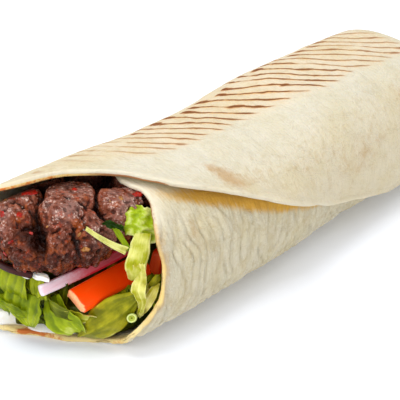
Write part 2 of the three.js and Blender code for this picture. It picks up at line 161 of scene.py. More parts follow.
# the mesh goes from the roll's millimetres to the part's metres here
def finishPiece(bm, name, material, replaced=()):
    bmesh.ops.recalc_face_normals(bm, faces=bm.faces[:])
    for v in bm.verts:
        v.co = (v.co + rollShift) * millimetre
    for f in bm.faces:
        f.smooth = True
    piece = meshObject(bm, name, material)
    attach(piece, "root")
    if replaced:
        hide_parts(*replaced)
    triangles = sum(len(p.vertices) - 2 for p in piece.data.polygons)
    print(f"{name}: {triangles} triangles")


# ---- shaders

def tint(code):
    parts = [int(code[k:k + 2], 16) / 255 for k in (1, 3, 5)]
    return tuple(p / 12.92 if p < 0.04045 else ((p + 0.055) / 1.055) ** 2.4 for p in parts) + (1.0,)


class Wire:  # a socket that adds Math nodes as it is used in sums
    def __init__(self, tree, socket):
        self.tree, self.socket = tree, socket

    def math(self, operation, *values, clamp=False):
        node = self.tree.nodes.new("ShaderNodeMath")
        node.operation, node.use_clamp = operation, clamp
        for k, value in enumerate(values):
            if isinstance(value, Wire):
                self.tree.links.new(value.socket, node.inputs[k])
            else:
                node.inputs[k].default_value = value
        return Wire(self.tree, node.outputs[0])

    def __add__(self, other):
        return self.math("ADD", self, other)

    def __sub__(self, other):
        return self.math("SUBTRACT", self, other)

    def __rsub__(self, other):
        return self.math("SUBTRACT", other, self)

    def __mul__(self, other):
        return self.math("MULTIPLY", self, other)

    def __truediv__(self, other):
        return self.math("DIVIDE", self, other)

    def __abs__(self):
        return self.math("ABSOLUTE", self)

    __radd__, __rmul__ = __add__, __mul__

    def clamped(self):
        return self.math("ADD", self, 0.0, clamp=True)

    def fraction(self):
        return self.math("FRACT", self)

    def floored(self):
        return self.math("FLOOR", self)

    def smaller(self, other):
        return self.math("MINIMUM", self, other)


class Paint:  # a material under way
    def __init__(self, name, **constants):
        self.material = bpy.data.materials.new(name)
        self.material.use_nodes = True
        self.tree = self.material.node_tree
        self.shader = self.tree.nodes["Principled BSDF"]
        for socket, value in constants.items():
            self.shader.inputs[socket.replace("_", " ")].default_value = value
        objectSpace = self.node("ShaderNodeTexCoord", {}, {}, "Object")
        self.place = self.node("ShaderNodeVectorMath", {"operation": "SCALE"},
                               {"Vector": objectSpace, "Scale": 1 / millimetre}, "Vector")

    def node(self, kind, settings, sockets, out=0):
        made = self.tree.nodes.new(kind)
        for key, value in settings.items():
            if key == "stops":
                for k, (where, colour) in enumerate(value):
                    stop = made.color_ramp.elements[k] if k < 2 else made.color_ramp.elements.new(where)
                    stop.position, stop.color = where, colour
            else:
                setattr(made, key, value)
        for key, value in sockets.items():
            if isinstance(value, Wire):
                self.tree.links.new(value.socket, made.inputs[key])
            else:
                made.inputs[key].default_value = value
        return Wire(self.tree, made.outputs[out])

    def value(self, name):
        return self.node("ShaderNodeAttribute", {"attribute_name": name}, {}, "Fac")

    def noise(self, scale, detail=2.0, vector=None, roughness=0.5):
        return self.node("ShaderNodeTexNoise", {}, {
            "Vector": vector or self.place, "Scale": scale, "Detail": detail, "Roughness": roughness})

    def step(self, value, start, end):
        return self.node("ShaderNodeMapRange", {"interpolation_type": "SMOOTHSTEP"},
                         {"Value": value, "From Min": start, "From Max": end})

    # noise over coordinates of its own
    def streaks(self, detail, x, y, z=0.0, roughness=0.5):
        place = self.node("ShaderNodeCombineXYZ", {}, {0: x, 1: y, 2: z})
        return self.noise(1.0, detail, place, roughness)

    def ramp(self, factor, stops):
        return self.node("ShaderNodeValToRGB", {"stops": [(where, tint(code)) for where, code in stops]},
                         {"Fac": factor})

    def mix(self, factor, first, second):
        self.colour = self.node("ShaderNodeMix", {"data_type": "RGBA"}, {0: factor, 6: first, 7: second}, 2)

    # the first two tints, and then the ones that go over them
    def ground(self, factor, first, second):
        self.mix(factor, tint(first), tint(second))

    def over(self, factor, code):
        self.mix(factor, self.colour, tint(code))

    # lays a tint where a value goes from start to end
    def spread(self, value, start, end, strength, code):
        self.over(self.step(value, start, end) * strength, code)

    def finish(self, roughness=None, bump=None, depth=0.1):
        self.tree.links.new(self.colour.socket, self.shader.inputs["Base Color"])
        if roughness is not None:
            self.tree.links.new(roughness.socket, self.shader.inputs["Roughness"])
        if bump is not None:
            sockets = {"Height": bump, "Distance": depth * millimetre}
            normal = self.node("ShaderNodeBump", {}, sockets, "Normal")
            self.tree.links.new(normal.socket, self.shader.inputs["Normal"])
        return self.material


# ---- the roll's section

roll = dict(
    farEnd=129, roundTop=2.3, roundBase=2.8, floorCut=3.3, radius=36,
    # along the roll: half width on the left and on the right, half height
    stations=[(-96, 37.5, 38, 34.8), (-60, 36.5, 41.3, 34), (-20, 35, 42, 32), (20, 34.5, 40.5, 30.6),
              (60, 34.5, 38, 31.4), (100, 34, 37, 30.4), (129, 33, 36, 29.2)],
)
leftKeys, rightKeys, heightKeys = [[(s[0], s[k]) for s in roll["stations"]] for k in (1, 2, 3)]

bread = dict(
    thickness=2.2, pitch=2.9, fullAngle=450, innerAngle=-75, tuckAngle=123, tuckFade=36, looseShort=6,
    cornerRadius=6, edgeRounding=0.88,
    # the tucked end
    capHole=1.0, capHollow=1.5, pleats=7, pleatDepth=0.9, pleatTwist=9, pleatPower=0.55, pleatShade=1.6,
    # the mesh: steps in degrees round the winding, rows along it, and distances from its edges
    hiddenStep=7, shownFrom=5, shownStep=3, flapRows=(2.4, 1.4, 0.65, 0.2, 0), tubeRows=226, crowdRows=1.28,
    cornerRows=7, capRows=18, lipRows=(0, 0.12, 0.4, 0.85, 1.5),
    # relief, with the angles between which it grows and fades
    edgeWave=0.6, swell=0.5, wrinkle=1.0, pulledSpan=(40, 70, 225, 275),
    rimRise=0.4, rimSpan=(280, 320, 468, 480), insideRelief=0.3, reliefFade=12,
    flapLift=3.0, flapReach=13, flapSpan=(378, 402, 432, 462),
    lipCurl=1.3, lipReach=7, lipSpan=(285, 325, 372, 396),
    # the front edge: angle round the winding, place along the roll
    frontEdge=[(-75, -38), (0, -44), (8, -47), (14, -48.5), (20, -47.5), (26, -46), (32, -47),
               (44, -51.5), (58, -55.5), (74, -57), (90, -57.5), (104, -61),
               (116, -66), (128, -69), (150, -66), (168, -69), (180, -76), (204, -85), (240, -92),
               (270, -95.5), (305, -95), (328, -92), (343, -86), (352, -73), (361, -61.5),
               (373, -50.5), (383, -43.5), (395, -37), (411, -19.5), (425, -4.5), (446, 22),
               (462, 57), (483, 88)],
)
bread["outerAngle"] = bread["tuckAngle"] + 360
tubeEnd = roll["farEnd"] - bread["cornerRadius"]
cornerArc = bread["cornerRadius"] * pi / 2


def halfWidth(side, y):
    return through(rightKeys if side > 0 else leftKeys, y)


def halfHeight(y):
    return through(heightKeys, y)


# a point at a depth under the outermost layer; the table presses the sheet's outside flat
def sectionPoint(angle, y, inset, layerDepth, shrink=1):
    turn = radians(angle)
    a, b = halfWidth(sin(turn), y), halfHeight(y)
    power = 2 / (roll["roundTop"] if cos(turn) > 0 else roll["roundBase"])
    x = (a - inset) * signedPower(sin(turn), power) * shrink
    z = b + (b - inset) * signedPower(cos(turn), power) * shrink
    return Vector((x, y, max(z, roll["floorCut"] + layerDepth)))


def windingInset(angle):
    return bread["pitch"] * (bread["fullAngle"] - angle) / 360


def insideInset(angle):
    wound = angle - 360 if angle >= bread["innerAngle"] + 360 else angle
    return windingInset(wound) + bread["thickness"]


# draws a point back into the room inside the bread
def keepInside(point, gap):
    a, b = halfWidth(point.x, point.y), halfHeight(point.y)
    up = point.z - b
    power = roll["roundTop"] if up > 0 else roll["roundBase"]
    turn = degrees(atan2(signedPower(point.x / a, power / 2), signedPower(up / b, power / 2)))
    inset = insideInset(turn if turn >= bread["innerAngle"] else turn + 360) + gap
    reach = (abs(point.x) / (a - inset)) ** power + (abs(up) / (b - inset)) ** power
    lowest = roll["floorCut"] + bread["thickness"] + gap
    if reach > 1:
        point = Vector((point.x * reach ** (-1 / power), point.y, b + up * reach ** (-1 / power)))
    return Vector((point.x, point.y, max(point.z, lowest)))


# ---- flatbread

# mm round the roll at an angle
def arcAt(angle):
    return radians(angle) * roll["radius"]


# mm behind the front edge, without its small waves
def behindEdge(angle, y):
    return y - through(bread["frontEdge"], angle)


def edgeAt(angle):
    wave = twoNoises((angle / 7, 0.3, 0), (angle / 2.6, 4.3, 0))
    return through(bread["frontEdge"], angle) + bread["edgeWave"] * wave


def breadLift(angle, y):
    fromEdge = behindEdge(angle, y)
    flap = within(angle, bread["flapSpan"]) * bell(fromEdge, bread["flapReach"])
    lip = within(angle, bread["lipSpan"]) * bell(fromEdge, bread["lipReach"])
    return bread["flapLift"] * flap + bread["lipCurl"] * lip


# how much of a place shows: nothing does under the flap
def shownAt(angle, y):
    if angle >= bread["tuckAngle"]:
        return 1.0
    return smoothstep(-1, 5, -behindEdge(angle + 360, y))


# wrinkles run round the roll where the flap pulls on it
def wrinkleAt(angle, y):
    arc = arcAt(angle)
    wobble = 4 * noise.noise((arc / 14, y / 17, 5.5))
    crease = max(1 - abs(noise.noise((arc / 15, (y + wobble) / 4.4, 1.7))) * 3.4, 0) ** 1.4
    small = max(1 - abs(noise.noise((arc / 7, (y + wobble) / 2.1, 9.2))) * 3.0, 0)
    return lerp(0.12, 1, within(angle, bread["pulledSpan"])) * (crease + 0.35 * small)


# soft bubbles, wrinkles and a raised rim
def breadRelief(angle, y):
    arc = arcAt(angle)
    fromEdge = behindEdge(angle, y)
    swell = twoNoises((arc / 19, y / 24, 3.1), (arc / 8, y / 10, 8.4))
    rim = (bell(fromEdge, 2, 1.5) - 0.7 * bell(fromEdge, 2.6, 7)) * within(angle, bread["rimSpan"])
    relief = bread["swell"] * swell - bread["wrinkle"] * wrinkleAt(angle, y) + bread["rimRise"] * rim
    return shownAt(angle, y) * relief


# the rounding of the sheet's edges
def lipDepth(angle, y, edge):
    fromEdge = min(y - edge, arcAt(bread["outerAngle"] - angle))
    half = bread["thickness"] / 2
    out = 1 - min(max(fromEdge, 0) / half, 1)
    return bread["edgeRounding"] * half * (1 - sqrt(max(1 - out * out, 0)))


# sharp creases that run to the middle of the tucked end
def pleatAt(angle):
    turn = radians(angle)
    return 1 - abs(sin((turn * bread["pleats"] + sin(turn * 2)) / 2 - pi / 4)) ** bread["pleatPower"]


def breadPoint(angle, along, edge, inside):
    rounding = lipDepth(angle, along, edge)
    depth = bread["thickness"] - rounding if inside else rounding
    inset = windingInset(angle) + depth
    corner = bread["cornerRadius"]
    if along <= tubeEnd:
        relief = breadRelief(angle, along) * (1 - smoothstep(tubeEnd - bread["reliefFade"], tubeEnd, along))
        if inside:
            relief *= bread["insideRelief"]
        return sectionPoint(angle, along, inset - breadLift(angle, along) - relief, depth)
    if along <= tubeEnd + cornerArc:
        turn = (along - tubeEnd) / corner
        reach = corner - inset
        point = sectionPoint(angle, tubeEnd, corner - reach * cos(turn), depth)
        point.y = tubeEnd + reach * sin(turn)
        return point
    span = halfHeight(roll["farEnd"]) - corner
    left = max(span - (along - tubeEnd - cornerArc), bread["capHole"])
    inwards = 1 - left / span
    point = sectionPoint(angle, tubeEnd, corner, depth, left / span)
    folds = pleatAt(angle + bread["pleatTwist"] * inwards) * sin(pi * inwards ** 0.8)
    point.y = roll["farEnd"] - inset - 2 * bread["pleatDepth"] * folds - bread["capHollow"] * inwards
    return point


def breadAngles():
    angles = []
    angle = bread["innerAngle"]
    while angle < bread["outerAngle"] - bread["flapRows"][0]:
        angles.append(angle)
        angle += bread["hiddenStep"] if angle < bread["shownFrom"] else bread["shownStep"]
    return angles + [bread["outerAngle"] - e for e in bread["flapRows"]]


def evenly(count):
    return [(k + 1) / count for k in range(count)]


def breadAlong(angle):
    tucked = smoothstep(bread["tuckAngle"] - bread["tuckFade"], bread["tuckAngle"], angle)
    edge = edgeAt(angle)
    end = tubeEnd - bread["looseShort"] * (1 - tucked)
    reach = max(tucked, 0.04)
    cap = halfHeight(roll["farEnd"]) - bread["cornerRadius"] - bread["capHole"]
    rows = [edge + e for e in bread["lipRows"]]
    start = rows[-1]
    rows += [lerp(start, end, s ** bread["crowdRows"]) for s in evenly(bread["tubeRows"])]
    rows += [end + reach * cornerArc * s for s in evenly(bread["cornerRows"])]
    rows += [end + reach * (cornerArc + cap * s) for s in evenly(bread["capRows"])]
    return edge, rows


def makeFlatbread(material):
    angles = breadAngles()
    columns = [breadAlong(a) for a in angles]
    bm = bmesh.new()
    layers = vertexValues(bm, "turn run edge warm grill lineStart lineAt grease toast tan rim wrinkle")
    last, end = len(angles) - 1, len(columns[0][1]) - 1
    for v, s, t in grid(bm, last, end):
        edge, rows = columns[round(s * last)]
        store(v, layers, turn=angles[round(s * last)], run=rows[round(t * end)], edge=edge)
    inner = extruded(bm, bm.faces[:])
    for v in bm.verts:
        angle, along, edge = v[layers["turn"]], v[layers["run"]], v[layers["edge"]]
        inside, fromEdge = v in inner, along - edge
        v.co = breadPoint(angle, along, edge, inside)
        # the wrinkle value also carries the painted shade of the wrinkles and of the tucked end's pleats
        creased = pleatAt(angle) ** 2 * smoothstep(tubeEnd, tubeEnd + 2 * cornerArc, along)
        store(v, layers, warm=paintedUnderFlapShadeAt(angle, along, inside), grill=0 if inside else grillAt(angle, along),
              lineStart=(angle - crust["firstStart"]) / crust["startSpread"], lineAt=lineAt(angle, along),
              grease=greaseAt(angle, fromEdge, inside), toast=toastAt(angle, fromEdge, inside),
              tan=tanAt(angle, along, fromEdge), rim=paintedRimLightAt(angle, fromEdge),
              wrinkle=wrinkleAt(angle, along) * shownAt(angle, along) + bread["pleatShade"] * creased,
              turn=angle / 360, run=along / 100)
    finishPiece(bm, "flatbread_sheet", material, ["flatbread"])


# the crust's tints and marks; the angles between which a mark grows and fades are its span
crust = dict(
    outer="#d9d0b8", inner="#d0c7ad", cloud="#d0c39d", mottle="#bfae86", crease="#a8966e", flour="#e6e0cd",
    rim="#e9e0c8", paler="#dad6c6", warmer="#d9caa8", tan="#b98f58", nearLines="#eecb9f", glow="#dc9e56",
    blotch="#a86224", line="#784520", warm="#cf9c34", toast="#a8682a", soaked="#f8dc8c", grease="#c65c10",
    around=226,  # mm round the roll
    # painted shade: the warm glow of the layer that lies in the flap's shade
    shadeSpan=(18, 50, 84, 108), shadeReach=(9, 16),
    # the part that lay on the grill: a band over the top, given by where it ends on the flap's side
    grillEnds=[(-90, 352), (-46, 358), (-28, 368), (-9, 371), (21, 371), (33, 375), (41, 378), (57, 381),
               (74, 383), (90, 382), (101, 384), (140, 386)],
    endWave=2, endFade=(-5, 3), grillStarts=(306, 316), fadesIn=(-62, -10), faint=0.4, fadesOut=(118, 127),
    # grill lines: where the first begins, within how many degrees the others do, and the bars' lie,
    # which is how far a line shifts with each mm to the right, along the roll and up
    firstStart=315, startSpread=20, lineGap=2.45, lie=(-0.3, 0.36, 0.88), lowest=-24,
    lineWidth=37, lineHeight=31, linePower=0.87,
    # oil: its spots on the lip (angle, reach, strength inside and outside), what soaked in round
    # them (strength, span), how deep it went, and what shows under the top of the mouth
    oilSpots=[(191, 8, 0.85, 0.4), (181, 5, 0.3, 0.3), (152, 14, 0.3, 0.3)],
    oilSoaked=[(0.28, (70, 110, 235, 270)), (0.22, (36, 60, 90, 110))], oilInside=7, oilOutside=1.6,
    oilAbove=0.75, aboveSpan=(270, 285, 352, 372), aboveFade=(2, 16),
    # the thin brown line along the edge
    toastRight=(22, 42, 96, 112), toastUnder=(318, 335, 386, 398), toastFrom=(200, 260), toastRest=0.35,
    toastOutside=0.45, toastReach=0.7, rightReach=1.1, insideReach=1.3,
    # where the dough browned: angle round the winding, place along the roll, reach both ways,
    # strength; and a little further in from the edge at the right: strength, span, reach
    tanPlaces=[
        (391, -13.5, 4, 3, 0.8), (398, -11.3, 5, 4, 1.0), (405, -10.7, 5, 4.5, 0.9), (412, -8, 6, 6, 0.5),
        (444, 58, 9, 17, 0.34), (434, 74, 10, 13, 0.26), (69, -37, 13, 3.4, 0.6), (424, 28, 16, 16, 0.3),
        (428, 55, 18, 18, 0.2), (410, 4, 7, 12, 0.35), (300, 20, 14, 9, 0.7), (262, -52, 12, 8, 0.6),
        (215, 62, 18, 12, 0.8), (318, 84, 9, 8, 0.6), (165, 4, 14, 14, 0.6), (240, 15, 12, 7, 0.5),
        (410, 96, 9, 7, 0.5), (290, -30, 9, 6, 0.5)],
    edgeTan=(0.8, (44, 66, 110, 124), 3),
    # painted highlights on paler rims, along the flap's rolled rim and on the inner layer's lip under the
    # flap: strength, span, reach, middle
    paintedRimLight=[(0.7, (300, 340, 466, 480), 3.2, 1), (1.5, (4, 16, 44, 66), 7, 0)],
)


# painted shade: how strongly the warm shade under the flap is painted on the layer below it
def paintedUnderFlapShadeAt(angle, y, inside):
    if inside or angle > bread["tuckAngle"]:
        return 0.0
    side = within(angle, crust["shadeSpan"])
    return side * (1 - smoothstep(1, lerp(*crust["shadeReach"], side), -behindEdge(angle + 360, y)))


def grillAt(angle, y):
    end = through(crust["grillEnds"], y) + crust["endWave"] * noise.noise((y / 5, 0.5, 0.5))
    side = smoothstep(*crust["grillStarts"], angle) * (1 - smoothstep(*crust["endFade"], angle - end))
    ends = lerp(crust["faint"], 1, smoothstep(*crust["fadesIn"], y)) * (1 - smoothstep(*crust["fadesOut"], y))
    return side * ends * shownAt(angle, y)


# what is the same all along one grill line
def lineAt(angle, y):
    turn = radians(max(angle - 360, crust["lowest"]))
    right = crust["lineWidth"] * signedPower(sin(turn), crust["linePower"])
    up = crust["lineHeight"] * signedPower(cos(turn), crust["linePower"])
    return sum(a * b for a, b in zip(crust["lie"], (right, y, up)))


def greaseAt(angle, fromEdge, inside):
    much = sum((a if inside else b) * bell(angle, reach, middle) for middle, reach, a, b in crust["oilSpots"])
    much += sum(strength * within(angle, span) for strength, span in crust["oilSoaked"])
    much *= 1 - smoothstep(0, crust["oilInside" if inside else "oilOutside"], fromEdge)
    if inside:
        above = within(angle, crust["aboveSpan"]) * (1 - smoothstep(*crust["aboveFade"], fromEdge))
        much += crust["oilAbove"] * above
    return much


def toastAt(angle, fromEdge, inside):
    right = within(angle, crust["toastRight"])
    rest = crust["toastRest"] * smoothstep(*crust["toastFrom"], angle)
    if not inside:
        reach = lerp(crust["toastReach"], crust["rightReach"], right)
        return crust["toastOutside"] * max(right, rest) * bell(fromEdge, reach)
    most = max(right, within(angle, crust["toastUnder"]))
    return max(most, rest) * bell(fromEdge, lerp(crust["toastReach"], crust["insideReach"], most))


def tanAt(angle, y, fromEdge):
    spots = sum(much * exp(-((angle - a) / wide) ** 2 - ((y - b) / long) ** 2)
                for a, b, wide, long, much in crust["tanPlaces"])
    strength, span, reach = crust["edgeTan"]
    return spots + strength * within(angle, span) * bell(fromEdge, reach)


def paintedRimLightAt(angle, fromEdge):
    return sum(strength * within(angle, span) * bell(fromEdge, reach, middle)
               for strength, span, reach, middle in crust["paintedRimLight"])


def breadMaterial():
    paint = Paint("grilled flatbread", Subsurface_Weight=0.1, Subsurface_Radius=(0.9, 0.6, 0.3),
                  Subsurface_Scale=0.002, Specular_IOR_Level=0.15)
    turn = paint.value("turn")
    arc, along = turn * crust["around"], paint.value("run") * 100
    cloudy = paint.noise(0.06, 3, roughness=0.6)
    mottle = paint.noise(0.28, 5, roughness=0.7)
    flour = paint.noise(1.1, 4, roughness=0.7)
    creases = paint.streaks(3, arc / 8, along / 1.3)
    slide = paint.noise(0.09, 2) * 30
    skin = paint.streaks(4, (arc + along + slide) / 6, (arc - along + slide) / 1.4, roughness=0.65)
    # the inner layer: greyer dough, and darker as painted shade of the flap above it
    inner = 1 - paint.step(turn, 0.335, 0.345)
    paint.ground(inner, crust["outer"], crust["inner"])
    paint.spread(cloudy, 0.4, 0.64, 0.6, crust["cloud"])
    paint.spread(mottle, 0.46, 0.72, 0.58, crust["mottle"])
    # painted shade: darker along the skin's fine wrinkles and along the inner layer's creases
    paint.spread(skin, 0.5, 0.68, 0.27, crust["crease"])
    paint.over(paint.step(creases, 0.52, 0.7) * inner * 0.3, crust["crease"])
    paint.spread(flour, 0.5, 0.74, 0.5, crust["flour"])
    paler = paint.step(turn, 0.98, 1.04) * (1 - paint.step(turn, 1.07, 1.17))
    paint.over(paler * 0.45, crust["paler"])
    paint.spread(turn, 1.08, 1.24, 0.5, crust["warmer"])
    # painted shade in the wrinkles and in the tucked end's pleats
    paint.spread(paint.value("wrinkle"), 0.3, 1.3, 0.45, crust["mottle"])
    # painted highlight along the rims
    paint.over(paint.value("rim") * 0.6, crust["rim"])
    tan = paint.step(paint.value("tan") + (mottle - 0.5) * 1.1 + (skin - 0.5) * 0.3, 0.15, 1.05)
    paint.over(tan * 0.65, crust["tan"])
    # grill lines: each has its own beginning, breaks and thickness, and a browned glow
    wobble = paint.streaks(2, arc / 16, along / 15) - 0.5
    ripple = paint.streaks(3, arc / 2.6, along / 6) - 0.5
    lineSpace = (paint.value("lineAt") + wobble * 2.6 + ripple * 0.45) / crust["lineGap"] + 60
    number = lineSpace.floored()
    offset = (lineSpace.fraction() - 0.5) * crust["lineGap"]
    grilled = paint.value("grill")
    chance = paint.node("ShaderNodeTexWhiteNoise", {"noise_dimensions": "1D"}, {"W": number}, "Value")
    started = paint.value("lineStart") - chance * 1.1
    begun = paint.step(started, 0.0, 0.12) * (1 - paint.step(started, 0.3, 0.7))
    broken = paint.streaks(2, arc / 11, number * 7.3)
    thick = paint.streaks(3, arc / 3.4, number * 3.1, 20.0)
    blotch = paint.step(paint.streaks(2, arc / 5, number * 5.7, 60.0), 0.58, 0.72)
    blotch = (blotch * 0.7 + begun * paint.step(chance, 0.35, 0.5)).clamped()
    present = paint.step(broken + grilled * 0.4, 0.62, 0.82) * paint.step(started, 0.0, 0.1) * grilled
    hottest = 0.6 + 0.4 * paint.step(along, -30.0, 25.0) * (1 - paint.step(along, 60.0, 110.0))
    width = (thick - 0.16) * 0.95 + blotch * 0.4
    line = (1 - paint.step(abs(offset), width * 0.3, width)) * present * hottest
    glow = (1 - paint.step(abs(offset + 0.1), 0.1, 0.62 + blotch * 0.4)) * present * hottest
    paint.over((grilled * (0.1 + mottle * 0.22)).clamped(), crust["nearLines"])
    paint.over((glow * 0.75).clamped(), crust["glow"])
    paint.over((blotch * glow).clamped(), crust["blotch"])
    paint.over((line * 0.92).clamped(), crust["line"])
    # painted shade under the flap, toast and oil
    warm = paint.step(paint.value("warm") + (creases - 0.5) * 0.8 + (flour - 0.5) * 0.3, 0.1, 0.95)
    paint.over(warm * 0.95, crust["warm"])
    paint.spread(paint.value("toast") + (flour - 0.5) * 0.7, 0.22, 0.8, 0.9, crust["toast"])
    oily = paint.value("grease")
    paint.spread(oily + (mottle - 0.5) * 0.3, 0.04, 0.4, 0.8, crust["soaked"])
    grease = paint.step(oily + (mottle - 0.5) * 1.3 + (flour - 0.5) * 0.9, 0.5, 0.95)
    paint.over(grease * 0.9, crust["grease"])
    height = mottle * 0.6 + flour * 0.35 + creases * 0.6 + skin * 0.7 - line * 0.7
    return paint.finish(0.85 - grease * 0.45, height, 0.55)


# ---- meat

meat = dict(
    centre=(-6, -44, 48.5), halfWidth=19.5, halfHeight=8.2, toFront=43, toBack=134, squareness=2.8,
    lumpHeight=9, lumpRadius=10.6, lumpTallness=1.3, valley=-0.25, warp=3.2, warpSize=9, detail=7, crowd=0.4,
    gap=0.35, smoothing=dict(hollow=40, pit=5),
    lumps=[(-12, -86, 51), (-13, -86, 43), (-27, -76, 49), (-14, -80, 59.5), (5, -76, 56), (6, -78, 47),
           (0, -65, 60), (2, -72, 41), (15, -53, 58), (14, -56, 49), (10, -38, 58), (-22, -58, 57),
           (-12, -42, 60), (-5, -81, 39), (-2, -86, 42), (-18, -84, 44), (12, -69, 46.5)],
    # the lumps behind those lie in rings
    rings=4, inRing=5, ringStart=0.25, ringGap=0.22, ringTurn=30,
    # what the mincer and the hand left on the lumps: size across and height of each kind of knob
    knots=[(7.5, 2.3), (3.4, 1.3)], crumbs=[(2.6, 0.8), (1.25, 0.4)],
    # pits: middle, radius, depth
    pits=[(-2, -86.5, 47.7, 1.9, 3.6), (15, -75, 50, 1.7, 3)],
)


def logPoint(direction):
    size = Vector((meat["halfWidth"], meat["toFront" if direction.y < 0 else "toBack"], meat["halfHeight"]))
    n = meat["squareness"]
    reach = sum(abs(v) ** n for v in direction) ** (-1 / n)
    point = Vector([d * s * reach for d, s in zip(direction, size)])
    facing = Vector([signedPower(d, n - 1) / s for d, s in zip(direction, size)]).normalized()
    return point + Vector(meat["centre"]), facing


def allLumps():
    lumps = [Vector(place) for place in meat["lumps"]]
    for ring in range(meat["rings"]):
        for k in range(meat["inRing"]):
            turned = 360 / meat["inRing"] * k + meat["ringTurn"] * ring + 14 * scatter(ring * 5 + k)
            turn = radians(turned)
            along = meat["ringGap"] * ring + meat["ringStart"] + 0.04 * scatter(ring + k)
            point, facing = logPoint(Vector((cos(turn), along, sin(turn))).normalized())
            lumps.append(point + facing * (meat["lumpHeight"] / 2))
    return lumps


# a point of the meat, and how high it lies on its lump
def meatSurface(direction, lumps):
    point, facing = logPoint(direction)
    halfUp = point + facing * (meat["lumpHeight"] / 2)
    halfUp += meat["warp"] * drift(halfUp / meat["warpSize"])
    reach = 0
    for lump in lumps:
        away = halfUp - lump
        away.z /= meat["lumpTallness"]
        far = away.length / meat["lumpRadius"]
        if far < 1:
            reach = max(reach, sqrt(1 - far * far))
    point = point + facing * (meat["lumpHeight"] * lerp(meat["valley"], 1, reach))
    rise = 0
    for k, (size, height) in enumerate(meat["knots"]):
        rise += height * noise.noise(point / size * 1.7 + Vector((7 * k, 1, 4)))
    for k, (size, height) in enumerate(meat["crumbs"]):
        distances = noise.voronoi(point / size + Vector((noise.noise(point / size), 0, 3 * k)))[0]
        rise += height * (0.45 - distances[0])
    point = point + facing * rise
    for x, y, z, radius, depth in meat["pits"]:
        away = Vector((point.x - x, 0.3 * (point.y - y), point.z - z)).length
        point = point - facing * depth * bell(away, radius)
    return point, reach


# how far each point lies under the average of the places around it
def sunkBelow(bm, rounds):
    kept = [v.co.copy() for v in bm.verts]
    for _ in range(rounds):
        bmesh.ops.smooth_vert(bm, verts=bm.verts[:], factor=0.7, use_axis_x=True, use_axis_y=True,
                              use_axis_z=True)
    smooth = [v.co.copy() for v in bm.verts]
    for v, place in zip(bm.verts, kept):
        v.co = place
    bm.normal_update()
    return [(s - k).dot(v.normal) for s, k, v in zip(smooth, kept, bm.verts)]


def makeMeat(material):
    bm = bmesh.new()
    layers = vertexValues(bm, "hollow pit top")
    bmesh.ops.create_icosphere(bm, subdivisions=meat["detail"], radius=1)
    lumps = allLumps()
    for v in bm.verts:
        along = v.co.normalized()
        y = (along.y - meat["crowd"]) / (1 - meat["crowd"] * along.y)      # more of them at the mouth
        around = Vector((along.x, 0, along.z)).normalized() * sqrt(max(1 - y * y, 0))
        point, v[layers["top"]] = meatSurface(Vector((around.x, y, around.z)), lumps)
        v.co = keepInside(point, meat["gap"])
    # how sunk each point lies, for the painted shade in hollows and pits and the painted glints on the crumbs
    for name, rounds in meat["smoothing"].items():
        for v, depth in zip(bm.verts, sunkBelow(bm, rounds)):
            v[layers[name]] = depth
    surface = BVHTree.FromBMesh(bm)
    finishPiece(bm, "minced_meat", material, ["kebab_meat"])
    return surface


